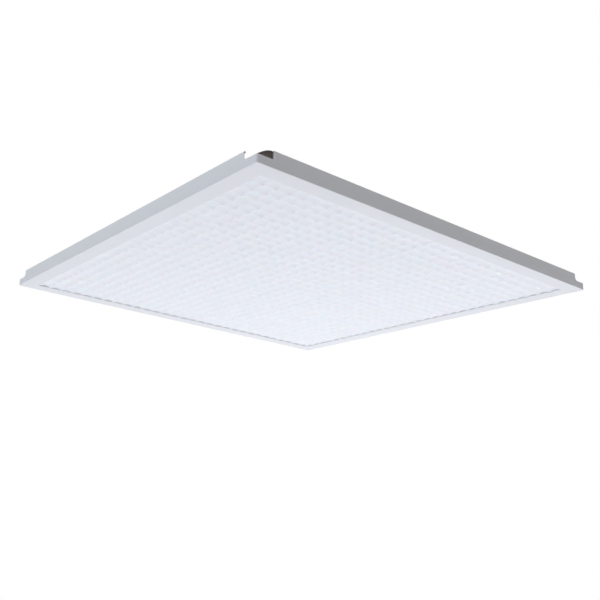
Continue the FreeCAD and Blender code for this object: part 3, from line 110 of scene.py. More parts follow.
def pick(kind: Kind, test: Test) -> None:
    """Selects in edit mode what passes a test.

    Args:
        kind: Whether points, edges or faces are selected.
        test: Told the middle of an item and the item.
    """
    bpy.ops.mesh.select_mode(type=kind.value)
    bpy.ops.mesh.select_all(action="DESELECT")
    data = bpy.context.edit_object.data
    mesh = bmesh.from_edit_mesh(data)
    items = {Kind.POINT: mesh.verts, Kind.EDGE: mesh.edges, Kind.FACE: mesh.faces}[kind]
    for item in items:
        corners = [item] if kind is Kind.POINT else item.verts
        middle = sum((corner.co for corner in corners), Vector()) / len(corners)
        if test(middle, item):
            item.select_set(True)
    mesh.select_flush_mode()
    bmesh.update_edit_mesh(data)


def everything(_middle: Vector, _item: Any) -> bool:
    """Passes every item."""
    return True


def border(_middle: Vector, edge: Any) -> bool:
    """Passes the open edges of a sheet."""
    return edge.is_boundary


def reach(spot: Vector) -> float:
    """How far a point lies from the middle of the square light, across or along it."""
    return max(abs(spot.x), abs(spot.y))


def grow(x: float = 0.0, y: float = 0.0, z: float = 0.0) -> None:
    """Extrudes what is selected by a distance along each axis."""
    bpy.ops.mesh.extrude_region_move(TRANSFORM_OT_translate={"value": (x, y, z)})


def shift(x: float = 0.0, y: float = 0.0, z: float = 0.0) -> None:
    """Moves what is selected by a distance along each axis."""
    bpy.ops.transform.translate(value=(x, y, z))


def stretch(x: float = 1.0, y: float = 1.0, z: float = 1.0, centre: Sequence[float] = (0, 0, 0)) -> None:
    """Scales what is selected about a point."""
    bpy.ops.transform.resize(value=(x, y, z), center_override=tuple(centre))


def soften(width: float, segments: int = 2, points: bool = False) -> None:
    """Bevels what is selected on the piece in edit mode.

    Args:
        width: How far the bevel reaches.
        segments: How many faces it is made of.
        points: Whether points are bevelled and not edges.
    """
    bpy.ops.mesh.bevel(
        offset=width, segments=segments, affect="VERTICES" if points else "EDGES", clamp_overlap=False
    )


def face_outwards() -> None:
    """Turns every face of the piece in edit mode outwards."""
    pick(Kind.FACE, everything)
    bpy.ops.mesh.normals_make_consistent(inside=False)


def settle(piece: bpy.types.Object, name: str) -> bpy.types.Object:
    """Names a piece and puts its place, turn and scale into its mesh.

    Args:
        piece: The piece.
        name: Its name, which its mesh gets too.

    Returns:
        The piece.
    """
    take(piece)
    piece.name = name
    piece.data.name = name
    bpy.ops.object.transform_apply(location=True, rotation=True, scale=True)
    return piece


def add_plate(name: str, low: Sequence[float], high: Sequence[float]) -> bpy.types.Object:
    """Adds a level plate.

    Args:
        name: The piece's name.
        low: Its low corner, which also gives its height.
        high: Its high corner.

    Returns:
        The plate.
    """
    middle = [(low[0] + high[0]) / 2, (low[1] + high[1]) / 2, low[2]]
    bpy.ops.object.select_all(action="DESELECT")
    bpy.ops.mesh.primitive_plane_add(size=1.0, location=middle)
    plate = bpy.context.object
    plate.scale = (high[0] - low[0], high[1] - low[1], 1.0)
    return settle(plate, name)


def add_block(name: str, low: Sequence[float], high: Sequence[float]) -> bpy.types.Object:
    """Adds a block.

    Args:
        name: The piece's name.
        low: Its low corner.
        high: Its high corner.

    Returns:
        The block.
    """
    middle = [(start + end) / 2 for start, end in zip(low, high)]
    bpy.ops.object.select_all(action="DESELECT")
    bpy.ops.mesh.primitive_cube_add(size=1.0, location=middle)
    block = bpy.context.object
    block.scale = [end - start for start, end in zip(low, high)]
    return settle(block, name)


def add_rod(
    name: str,
    centre: Sequence[float],
    radius: float,
    length: float,
    axis: Axis = Axis.Z,
    sides: int = 32,
    ends: bool = True,
) -> bpy.types.Object:
    """Adds a rod.

    Args:
        name: The piece's name.
        centre: The rod's middle.
        radius: The rod's radius.
        length: The rod's length.
        axis: The direction it lies along.
        sides: How many flat sides it has.
        ends: Whether its ends are closed.

    Returns:
        The rod.
    """
    bpy.ops.object.select_all(action="DESELECT")
    bpy.ops.mesh.primitive_cylinder_add(
        vertices=sides,
        radius=radius,
        depth=length,
        end_fill_type="NGON" if ends else "NOTHING",
        location=tuple(centre),
        rotation=axis.value,
    )
    return settle(bpy.context.object, name)


def work(piece: bpy.types.Object, kind: str, **settings: Any) -> None:
    """Gives a piece a modifier and applies it.

    Args:
        piece: The piece.
        kind: The modifier's type.
        settings: The modifier's settings.
    """
    modifier = piece.modifiers.new(kind.title(), kind)
    for key, value in settings.items():
        setattr(modifier, key, value)
    take(piece)
    bpy.ops.object.modifier_apply(modifier=modifier.name)


def round_edges(piece: bpy.types.Object, width: float, segments: int = 2, degrees: float = 35.0) -> None:
    """Rounds the edges of a piece that are sharper than an angle.

    Args:
        piece: The piece.
        width: How far the rounding reaches from each edge.
        segments: How many faces it is made of.
        degrees: The angle.
    """
    work(
        piece,
        "BEVEL",
        width=width,
        segments=segments,
        limit_method="ANGLE",
        angle_limit=math.radians(degrees),
        use_clamp_overlap=True,
    )


def smooth(piece: bpy.types.Object, degrees: float = 32.0) -> bpy.types.Object:
    """Shades a piece smooth except along edges that are sharper than an angle.

    Args:
        piece: The piece.
        degrees: The angle.

    Returns:
        The piece.
    """
    take(piece)
    bpy.ops.object.shade_smooth_by_angle(angle=math.radians(degrees))
    return piece


def cut_away(piece: bpy.types.Object, cutter: bpy.types.Object) -> None:
    """Cuts the form of a cutter out of a piece and throws the cutter away."""
    work(piece, "BOOLEAN", operation="DIFFERENCE", solver="EXACT", object=cutter)
    bpy.data.objects.remove(cutter)


def joined(pieces: Sequence[bpy.types.Object], name: str) -> bpy.types.Object:
    """Joins pieces into the first one.

    Args:
        pieces: The pieces.
        name: The joined piece's name.

    Returns:
        The joined piece.
    """
    take(*pieces)
    if len(pieces) > 1:
        bpy.ops.object.join()
    return settle(pieces[0], name)


def copied(piece: bpy.types.Object, move: Sequence[float], quarter_turns: float = 0) -> bpy.types.Object:
    """Copies a piece with its mesh, turns the copy about the light's middle and then moves it.

    Args:
        piece: The piece to copy.
        move: How far the copy is moved.
        quarter_turns: How many quarter turns about the upright axis it makes.

    Returns:
        The copy.
    """
    take(piece)
    bpy.ops.object.duplicate(linked=False)
    copy = bpy.context.object
    copy.rotation_euler.z = quarter_turns * math.pi / 2
    copy.location = tuple(move)
    return settle(copy, f"{piece.name}_copy")


def dress(
    piece: bpy.types.Object, finish: "Finish", body: str = "root", replaces: Sequence[str] = ()
) -> None:
    """Gives a new piece its finish and ties it to the frame.

    Args:
        piece: The piece.
        finish: Its finish.
        body: The body that the piece rides on.
        replaces: The nodes that the piece stands for.
    """
    piece.data.materials.clear()
    piece.data.materials.append(finish.material())
    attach(piece, body)
    if replaces:
        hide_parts(*replaces)
    LOG.info("%s: %d faces, rides on %s", piece.name, len(piece.data.polygons), body)


# Finishes

# The values between which nearly all of a noise pattern lies
NOISE_SPAN = (0.3, 0.7)


class Graph:
    """The node tree of one finish: a principled shader and the patterns that feed it."""

    def __init__(self, name: str) -> None:
        """Starts a material with a principled shader.

        Args:
            name: The material's name.
        """
        self.material = bpy.data.materials.new(name)
        self.material.use_nodes = True
        self.tree = self.material.node_tree
        self.shader = self.tree.nodes["Principled BSDF"]
        self.place = self.tree.nodes.new("ShaderNodeTexCoord").outputs["Object"]

    def node(self, kind: str, **settings: Any) -> bpy.types.Node:
        """Adds a node.

        Args:
            kind: The node's type, without what all shader nodes begin with.
            settings: The properties that it gets.

        Returns:
            The node.
        """
        node = self.tree.nodes.new(f"ShaderNode{kind}")
        for key, value in settings.items():
            setattr(node, key, value)
        return node

    def link(self, start: bpy.types.NodeSocket, end: bpy.types.NodeSocket) -> None:
        """Joins two sockets."""
        self.tree.links.new(start, end)

    def set(self, **sockets: Any) -> None:
        """Sets constant values on the shader's own sockets."""
        for name, value in sockets.items():
            self.shader.inputs[name.replace("_", " ")].default_value = value

    def noise(
        self, size: float, detail: float = 2.0, scale: Sequence[float] = (1, 1, 1)
    ) -> bpy.types.NodeSocket:
        """Fractal noise over the piece.

        Args:
            size: The size of one feature, in metres.
            detail: How many finer octaves it has.
            scale: How much finer it is along each axis.

        Returns:
            The noise's value, from 0 to 1.
        """
        mapping = self.node("Mapping")
        mapping.inputs["Scale"].default_value = tuple(scale)
        self.link(self.place, mapping.inputs["Vector"])
        noise = self.node("TexNoise")
        noise.inputs["Scale"].default_value = 1.0 / size
        noise.inputs["Detail"].default_value = detail
        self.link(mapping.outputs["Vector"], noise.inputs["Vector"])
        return noise.outputs["Fac"]

    def tint(self, factor: bpy.types.NodeSocket, dark: Colour, light: Colour) -> None:
        """Lets the base colour range between two colours.

        Args:
            factor: The pattern.
            dark: The colour where the pattern is low.
            light: The colour where it is high.
        """
        ramp = self.node("ValToRGB")
        first, last = ramp.color_ramp.elements
        first.position, last.position = NOISE_SPAN
        first.color = (*dark, 1.0)
        last.color = (*light, 1.0)
        self.link(factor, ramp.inputs["Fac"])
        self.link(ramp.outputs["Color"], self.shader.inputs["Base Color"])

    def vary(self, factor: bpy.types.NodeSocket, socket: str, low: float, high: float) -> None:
        """Lets a socket of the shader range between two values.

        Args:
            factor: The pattern.
            socket: The socket's name.
            low: The value where the pattern is low.
            high: The value where it is high.
        """
        span = self.node("MapRange")
        span.inputs["From Min"].default_value = NOISE_SPAN[0]
        span.inputs["From Max"].default_value = NOISE_SPAN[1]
        span.inputs["To Min"].default_value = low
        span.inputs["To Max"].default_value = high
        self.link(factor, span.inputs["Value"])
        self.link(span.outputs["Result"], self.shader.inputs[socket])

    def emboss(self, height: bpy.types.NodeSocket, depth: float) -> None:
        """Roughens the surface by a pattern.

        Args:
            height: The pattern.
            depth: Its depth in metres.
        """
        bump = self.node("Bump")
        bump.inputs["Distance"].default_value = depth
        bump.inputs["Strength"].default_value = 1.0
        self.link(height, bump.inputs["Height"])
        self.link(bump.outputs["Normal"], self.shader.inputs["Normal"])


def shade(colour: Colour, factor: float) -> Colour:
    """A colour made darker or lighter."""
    return tuple(min(1.0, part * factor) for part in colour)


@dataclass(frozen=True)
class Finish:
    """What every finish has: a name and a colour that drifts a little over the surface."""

    name: str
    colour: Colour
    rough: float = 0.45
    drift: float = 0.02
    drift_size: float = 60 * MM

    def build(self, graph: Graph) -> None:
        """Adds what is special to the finish."""

    def material(self) -> bpy.types.Material:
        """Makes the material, or finds it if it is there already.

        Returns:
            The material.
        """
        found = bpy.data.materials.get(self.name)
        if found:
            return found
        graph = Graph(self.name)
        graph.tint(
            graph.noise(self.drift_size, 3.0),
            shade(self.colour, 1 - self.drift),
            shade(self.colour, 1 + self.drift),
        )
        graph.set(Roughness=self.rough)
        self.build(graph)
        return graph.material


@dataclass(frozen=True)
class PowderCoat(Finish):
    """Satin powder coat on sheet steel, with the fine waves that such paint sets with."""

    wave: float = 1.6 * MM
    depth: float = 0.012 * MM

    def build(self, graph: Graph) -> None:
        """Adds the paint's waves and its uneven gloss.

        Args:
            graph: The finish's node tree.
        """
        graph.vary(graph.noise(25 * MM), "Roughness", self.rough - 0.04, self.rough + 0.05)
        graph.emboss(graph.noise(self.wave, 3.0), self.depth)
        graph.set(IOR=1.5)


@dataclass(frozen=True)
class FrostedAcrylic(Finish):
    """Opal acrylic with a fine frosted skin that lets a little light sink in."""

    sink: float = 0.15
    grain: float = 0.5 * MM
    depth: float = 0.01 * MM

    def build(self, graph: Graph) -> None:
        """Adds the sunk light and the frosted grain.

        Args:
            graph: The finish's node tree.
        """
        graph.vary(graph.noise(40 * MM), "Roughness", self.rough - 0.03, self.rough + 0.03)
        graph.emboss(graph.noise(self.grain, 4.0), self.depth)
        graph.set(IOR=1.49, Subsurface_Weight=self.sink, Subsurface_Scale=1.5 * MM)


@dataclass(frozen=True)
class Moulding(Finish):
    """Moulded plastic or rubber with a spark-eroded texture."""

    grain: float = 0.35 * MM
    depth: float = 0.02 * MM
    gloss: float = 0.5

    def build(self, graph: Graph) -> None:
        """Adds the texture of the mould.

        Args:
            graph: The finish's node tree.
        """
        graph.vary(graph.noise(8 * MM), "Roughness", self.rough - 0.05, self.rough + 0.06)
        graph.emboss(graph.noise(self.grain, 3.0), self.depth)
        graph.set(Specular_IOR_Level=self.gloss)


@dataclass(frozen=True)
class BareMetal(Finish):
    """Plated or plain metal with the marks of its making."""

    grain: Colour = (1.0, 1.0, 1.0)
    grain_size: float = 0.6 * MM
    depth: float = 0.006 * MM

    def build(self, graph: Graph) -> None:
        """Adds the marks and the cloudy gloss.

        Args:
            graph: The finish's node tree.
        """
        marks = graph.noise(self.grain_size, 4.0, self.grain)
        graph.vary(graph.noise(4 * MM, 3.0), "Roughness", self.rough - 0.08, self.rough + 0.1)
        graph.emboss(marks, self.depth)
        graph.set(Metallic=1.0)


@dataclass(frozen=True)
class ClearMoulding(Finish):
    """Clear acrylic with a faint flow mark."""

    def build(self, graph: Graph) -> None:
        """Lets the light through."""
        graph.emboss(graph.noise(3 * MM, 2.0), 0.01 * MM)
        graph.set(IOR=1.49, Transmission_Weight=0.85)


@dataclass(frozen=True)
class StripedInsulation(Finish):
    """Insulation with a second colour that runs along the wire."""

    second: Colour = (0.75, 0.62, 0.05)
    stripe: float = 1.1 * MM
    unscaled_band: float = 0.31
    second_from: float = 0.55

    def build(self, graph: Graph) -> None:
        """Adds the stripe.

        Args:
            graph: The finish's node tree.
        """
        wave = graph.node("TexWave", wave_type="BANDS", bands_direction="DIAGONAL")
        wave.inputs["Scale"].default_value = self.unscaled_band / self.stripe / 2
        graph.link(graph.place, wave.inputs["Vector"])
        ramp = graph.node("ValToRGB")
        ramp.color_ramp.interpolation = "CONSTANT"
        ramp.color_ramp.elements[0].color = (*self.colour, 1.0)
        ramp.color_ramp.elements[1].position = self.second_from
        ramp.color_ramp.elements[1].color = (*self.second, 1.0)
        graph.link(wave.outputs["Fac"], ramp.inputs["Fac"])
        graph.link(ramp.outputs["Color"], graph.shader.inputs["Base Color"])
        graph.emboss(graph.noise(1.5 * MM), 0.01 * MM)


WHITE_PAINT = PowderCoat("white_powder_coat", (0.78, 0.79, 0.80), 0.48, 0.008)
PAN_PAINT = PowderCoat("pan_powder_coat", (0.74, 0.75, 0.76), 0.5, 0.012, wave=2.2 * MM)
ACRYLIC = FrostedAcrylic("opal_acrylic", (0.86, 0.87, 0.89), 0.42, 0.006)
BROWN_NYLON = Moulding("brown_nylon", (0.044, 0.028, 0.022), 0.46, 0.06)
BLACK_NYLON = Moulding("black_nylon", (0.022, 0.022, 0.024), 0.45, 0.08)
GREY_NYLON = Moulding("grey_nylon", (0.40, 0.41, 0.43), 0.5, 0.04)
SOLDER_MASK = Moulding("white_solder_mask", (0.80, 0.81, 0.81), 0.35, 0.02, depth=0.006 * MM)
WHITE_FILM = Moulding("white_film", (0.86, 0.86, 0.86), 0.6, 0.01, depth=0.01 * MM)
WHITE_CASE = Moulding("white_case", (0.76, 0.76, 0.74), 0.38, 0.02, depth=0.015 * MM)
GREY_CASE = Moulding("grey_case", (0.48, 0.49, 0.50), 0.42, 0.03)
ORANGE_CASE = Moulding("orange_case", (0.75, 0.20, 0.03), 0.35, 0.04)
PHOSPHOR = Moulding("yellow_phosphor", (0.80, 0.62, 0.12), 0.4, 0.05)
RUBBER = Moulding("black_rubber", (0.025, 0.025, 0.026), 0.65, 0.08, gloss=0.3)
BROWN_WIRE = Moulding("brown_insulation", (0.16, 0.07, 0.03), 0.35, 0.05, depth=0.008 * MM)
BLUE_WIRE = Moulding("blue_insulation", (0.03, 0.10, 0.38), 0.35, 0.05, depth=0.008 * MM)
WHITE_WIRE = Moulding("white_insulation", (0.74, 0.74, 0.72), 0.35, 0.03, depth=0.008 * MM)
GREEN_WIRE = StripedInsulation("green_yellow_insulation", (0.05, 0.32, 0.06), 0.35)
ZINC = BareMetal("bright_zinc", (0.60, 0.61, 0.63), 0.32, 0.06, 8 * MM)
ALUMINIUM = BareMetal("plain_aluminium", (0.68, 0.69, 0.70), 0.38, 0.04, 8 * MM)
BRASS = BareMetal("plain_brass", (0.70, 0.54, 0.25), 0.3, 0.05, 6 * MM)
CLEAR = ClearMoulding("clear_acrylic", (0.92, 0.94, 0.95), 0.08, 0.01)


# Sub-assemblies


@dataclass
class FoldedFrame:
    """The folded sheet round the light: bezel, notched walls, rolled hems and wall returns."""

    half: float
    bezel: float = 22.5 * MM
    sheet: float = 0.7 * MM
    wall: float = 20.0 * MM
    low_wall: float = 9.5 * MM
    notch: float = 22.0 * MM
    fillet: float = 5.0 * MM
    upstand: float = 2.4 * MM
    corner: float = 3.0 * MM
    bend: float = 0.6 * MM
    inner_bend: float = 0.35 * MM
    hem: float = 1.2 * MM
    hem_sheet: float = 0.6 * MM
    return_round: float = 2.5 * MM
    return_share: float = 0.96
    return_depth: float = 3.6 * MM

    @property
    def wall_run(self) -> float:
        """How far the high part of a wall reaches from its middle."""
        return self.half - self.notch

    @property
    def hem_middle(self) -> float:
        """The height of the hem's middle."""
        return self.wall - self.hem

    def folded_sheet(self) -> bpy.types.Object:
        """Folds the bezel, the walls and the upstand from one plate.

        Returns:
            The folded sheet, with walls that are still high at the corners.
        """
        half = self.half
        opening = half - self.bezel
        piece = add_plate("folded_frame", (-half, -half, 0.0), (half, half, 0.0))
        with editing(piece):
            pick(Kind.FACE, everything)
            bpy.ops.mesh.inset(thickness=self.bezel, use_even_offset=True)
            bpy.ops.mesh.delete(type="ONLY_FACE")
            pick(Kind.EDGE, lambda middle, edge: edge.is_boundary and reach(middle) < opening + TINY)
            grow(z=self.upstand)
            pick(Kind.EDGE, lambda middle, edge: edge.is_boundary and reach(middle) > half - TINY)
            grow(z=self.hem_middle)
            pick(Kind.EDGE, lambda middle, edge: self.is_upright_corner(middle))
            soften(self.corner, 5)
            pick(Kind.EDGE, lambda middle, edge: self.is_fold(middle, edge, half - self.corner))
            soften(self.bend, 4)
            pick(Kind.EDGE, lambda middle, edge: self.is_fold(middle, edge, 0.0))
            soften(self.inner_bend, 3)
            face_outwards()
        work(piece, "SOLIDIFY", thickness=self.sheet, offset=-1.0, use_even_offset=True)
        return piece

    def is_upright_corner(self, middle: Vector) -> bool:
        """Whether the middle of an edge lies on an upright corner of the walls."""
        return min(abs(middle.x), abs(middle.y)) > self.half - TINY and middle.z > TINY

    def is_fold(self, middle: Vector, edge: Any, nearest: float) -> bool:
        """Whether an edge is a sharp fold in the plane of the bezel, beyond a distance."""
        sharp = len(edge.link_faces) == 2 and edge.calc_face_angle(0.0) > 1.0
        return abs(middle.z) < TINY and sharp and reach(middle) > nearest

    def cut_notches(self, piece: bpy.types.Object) -> None:
        """Cuts the high part of each wall away beside the corners.

        Args:
            piece: The folded sheet.
        """
        beyond = 5 * MM
        for turn in range(4):
            for end in (-1, 1):
                clip_side = turn in (0, 2) and end == -1
                start = self.wall_run - (self.return_round if clip_side else 0.0)
                across = sorted((end * start, end * (self.half + beyond)))
                cutter = add_block(
                    "notch_cutter",
                    (across[0], -self.half - beyond, self.low_wall),
                    (across[1], -self.half + beyond, self.wall + beyond),
                )
                if not clip_side:
                    with editing(cutter):
                        pick(
                            Kind.EDGE,
                            lambda middle, edge: abs(middle.x - end * start) < TINY
                            and abs(middle.z - self.low_wall) < TINY,
                        )
                        soften(self.fillet, 7)
                cutter.rotation_euler.z = turn * math.pi / 2
                cut_away(piece, settle(cutter, "notch_cutter"))

    def hem_roll(self) -> bpy.types.Object:
        """Rolls the hem of the wall at the -Y side: a tube that is open where it meets the wall.

        Returns:
            The hem.
        """
        across = -self.half + self.hem
        roll = add_rod(
            "hem_roll", (0, across, self.hem_middle), self.hem, 2 * self.wall_run, Axis.X, 28, False
        )
        with editing(roll):
            pick(
                Kind.FACE,
                lambda middle, face: middle.y < across - 0.5 * self.hem and middle.z < self.hem_middle,
            )
            bpy.ops.mesh.delete(type="FACE")
        work(roll, "SOLIDIFY", thickness=self.hem_sheet, offset=-1.0)
        return roll

    def wall_return(self) -> bpy.types.Object:
        """Bends the end of a high wall inwards, where a clip works in the notch beside it.

        Returns:
            The return at the low end of the wall at the -Y side.
        """
        start = -self.wall_run
        top = self.hem_middle
        piece = add_block(
            "wall_return",
            (start, -self.half, self.low_wall),
            (start + self.return_round, -self.half + self.return_depth, top),
        )
        with editing(piece):
            pick(
                Kind.FACE,
                lambda middle, face: not (
                    abs(middle.x - start) < TINY or abs(middle.y + self.half) < TINY
                ),
            )
            bpy.ops.mesh.delete(type="ONLY_FACE")
            pick(
                Kind.EDGE,
                lambda middle, edge: abs(middle.x - start) < TINY and abs(middle.y + self.half) < TINY,
            )
            soften(self.return_round * self.return_share, 6)
        work(piece, "SOLIDIFY", thickness=self.sheet, offset=-1.0)
        return piece

    def build(self) -> None:
        """Builds the frame and dresses it."""
        piece = self.folded_sheet()
        self.cut_notches(piece)
        hem = self.hem_roll()
        bend = self.wall_return()
        others = [copied(hem, (0, 0, 0), turn) for turn in (1, 2, 3)]
        others.append(copied(bend, (0, 0, 0), 2))
        piece = joined([piece, hem, bend, *others], "folded_frame")
        smooth(piece)
        dress(piece, WHITE_PAINT, replaces=["face_frame"])


@dataclass
class DiffuserTray:
    """One moulded tray: a field of hollow cells, a flat edge on the upstand and a rim."""

    name: str
    node: str
    mirrored: bool
    cells_across: int = 15
    cells_along: int = 30
    field: float = 274.6 * MM
    seam: float = 0.15 * MM
    edge: float = 279.0 * MM
    crest: float = 0.05 * MM
    arc: float = 2.25 * MM
    depth: float = 3.75 * MM
    foot: float = 2.4 * MM
    plate: float = 3.9 * MM
    rim_top: float = 8.0 * MM
    wall: float = 1.5 * MM
    weld: float = 0.02 * MM
    steps: int = 6
    crease: float = 14.0

    @property
    def pitch_across(self) -> float:
        """The width of a cell."""
        return (self.field - self.seam) / self.cells_across

    @property
    def pitch_along(self) -> float:
        """The length of a cell."""
        return 2 * self.field / self.cells_along

    def rise(self, across: int, along: int) -> float:
        """Works out how high a hollow rises over its corners.

        Args:
            across: How many steps the point lies across from the hollow's middle.
            along: How many steps it lies along from there.

        Returns:
            The rise: the arc's height at mid-side, and the hollow's depth in the middle.
        """
        half = self.steps / 2
        first, second = 1.0 - (across / half) ** 2, 1.0 - (along / half) ** 2
        return self.arc * (first + second) - (2 * self.arc - self.depth) * first * second

    def cell(self) -> bpy.types.Object:
        """Models the first cell: a smooth hollow between four straight crests.

        Returns:
            The cell, at the near end of the field beside the seam.
        """
        low = (self.seam, -self.field, self.crest)
        high = (self.seam + self.pitch_across, -self.field + self.pitch_along, self.crest)
        piece = add_plate(self.name, low, high)
        middle = [(start + end) / 2 for start, end in zip(low, high)]
        half = self.steps // 2
        with editing(piece):
            pick(Kind.FACE, everything)
            bpy.ops.mesh.subdivide(number_cuts=self.steps - 1)
            step_x = self.pitch_across / self.steps
            step_y = self.pitch_along / self.steps
            for across in range(half + 1):
                for along in range(half + 1):
                    pick(
                        Kind.POINT,
                        lambda spot, _: round(abs(spot.x - middle[0]) / step_x) == across
                        and round(abs(spot.y - middle[1]) / step_y) == along,
                    )
                    shift(z=self.rise(across, along))
            pick(Kind.FACE, everything)
            bpy.ops.mesh.flip_normals()
        return piece

    def build(self) -> None:
        """Builds the tray round its field of cells and dresses it."""
        piece = self.cell()
        for count, offset in (
            (self.cells_across, (self.pitch_across, 0, 0)),
            (self.cells_along, (0, self.pitch_along, 0)),
        ):
            work(
                piece,
                "ARRAY",
                count=count,
                use_relative_offset=False,
                use_constant_offset=True,
                constant_offset_displace=offset,
                use_merge_vertices=True,
                merge_threshold=self.weld,
            )
        across = self.edge - self.seam
        centre = ((self.edge + self.seam) / 2, 0.0, 0.0)
        with editing(piece):
            pick(Kind.EDGE, border)
            grow(z=self.foot - self.crest)
            stretch(z=0.0, centre=(0, 0, self.foot))
            pick(Kind.EDGE, lambda middle, edge: edge.is_boundary and middle.x > self.seam + TINY)
            grow()
            stretch(across / (self.field - self.seam), self.edge / self.field, centre=(self.seam, 0, 0))
            pick(Kind.EDGE, border)
            grow(z=self.rim_top - self.foot)
            grow()
            stretch((across - 2 * self.wall) / across, (self.edge - self.wall) / self.edge, centre=centre)
            grow(z=self.plate - self.rim_top)
            bpy.ops.mesh.edge_face_add()
            if self.mirrored:
                pick(Kind.FACE, everything)
                stretch(x=-1.0)
            face_outwards()
        smooth(piece, self.crease)
        dress(piece, ACRYLIC, replaces=[self.node])


@dataclass
class BackPan:
    """The pressed pan: a flange with cut corners, a sloped skirt and a beaded top."""

    flange: float = 294.5 * MM
    foot: float = 276.5 * MM
    head: float = 253.5 * MM
    flange_top: float = 9.0 * MM
    top: float = 30.0 * MM
    corner: float = 14.0 * MM
    sheet: float = 0.7 * MM
    head_bend: float = 3.0 * MM
    foot_bend: float = 2.0 * MM
    bead_places: tuple[float, ...] = (-184 * MM, -92 * MM, 92 * MM, 184 * MM)
    bead_length: float = 300.0 * MM
    bead_width: float = 8.0 * MM
    bead_height: float = 1.2 * MM
    bead_lip: float = 0.05 * MM
    bead_round: float = 0.97
    bead_steps: tuple[float, ...] = (0.45, 0.33, 0.17)
    crease: float = 40.0

    def shell(self) -> bpy.types.Object:
        """Draws the skirt and the flange out of the pan's top.

        Returns:
            The pan without its beads, as a sheet.
        """
        head, foot, flange = self.head, self.foot, self.flange
        piece = add_plate("pressed_pan", (-head, -head, self.top), (head, head, self.top))
        with editing(piece):
            pick(Kind.POINT, everything)
            soften(self.corner, 8, points=True)
            pick(Kind.EDGE, border)
            grow(z=self.flange_top - self.top)
            stretch(foot / head, foot / head)
            grow()
            stretch(flange / foot, flange / foot)
            cut = flange - self.corner / 2
            for x, y in ((-1, -1), (1, -1), (1, 1), (-1, 1)):
                pick(Kind.FACE, lambda middle, face: abs(middle.z - self.flange_top) < TINY)
                bpy.ops.mesh.bisect(
                    plane_co=(x * cut, y * cut, 0.0), plane_no=(x, y, 0.0), clear_outer=True
                )
            for height, bend in ((self.top, self.head_bend), (self.flange_top, self.foot_bend)):
                pick(Kind.EDGE, lambda middle, edge: self.is_bend(middle, edge, height))
                soften(bend, 4)
        return piece

    @staticmethod
    def is_bend(middle: Vector, edge: Any, height: float) -> bool:
        """Tells whether an edge is the bend at the skirt's head or foot.

        Args:
            middle: The edge's middle.
            edge: The edge.
            height: The height of the head or of the foot.

        Returns:
            Whether it is that bend.
        """
        return (
            abs(middle.z - height) < TINY
            and len(edge.link_faces) == 2
            and edge.calc_face_angle(0.0) > 0.3
        )

    def bead(self, across: float) -> bpy.types.Object:
        """Presses one bead: a long rounded ridge on the pan's top.

        Args:
            across: Where the bead lies across the pan.

        Returns:
            The bead.
        """
        half_width, half_length = self.bead_width / 2, self.bead_length / 2
        top = self.top + self.bead_lip
        piece = add_block(
            "pan_bead",
            (across - half_width, -half_length, self.top - self.sheet / 2),
            (across + half_width, half_length, top),
        )
        with editing(piece):
            pick(Kind.EDGE, lambda middle, edge: abs(edge.verts[0].co.z - edge.verts[1].co.z) > TINY)
            soften(half_width * self.bead_round, 7)
            pick(Kind.FACE, lambda middle, face: face.normal.z > 0.9 and middle.z > top - TINY)
            for share in self.bead_steps:
                bpy.ops.mesh.inset(thickness=half_width / 4, depth=self.bead_height * share)
        return piece

    def build(self) -> None:
        """Builds the pan and dresses it."""
        piece = self.shell()
        with editing(piece):
            face_outwards()
        work(piece, "SOLIDIFY", thickness=self.sheet, offset=-1.0, use_even_offset=True)
        beads = [self.bead(across) for across in self.bead_places]
        piece = smooth(joined([piece, *beads], "pressed_pan"), self.crease)
        dress(piece, PAN_PAINT, replaces=["back_pan"])


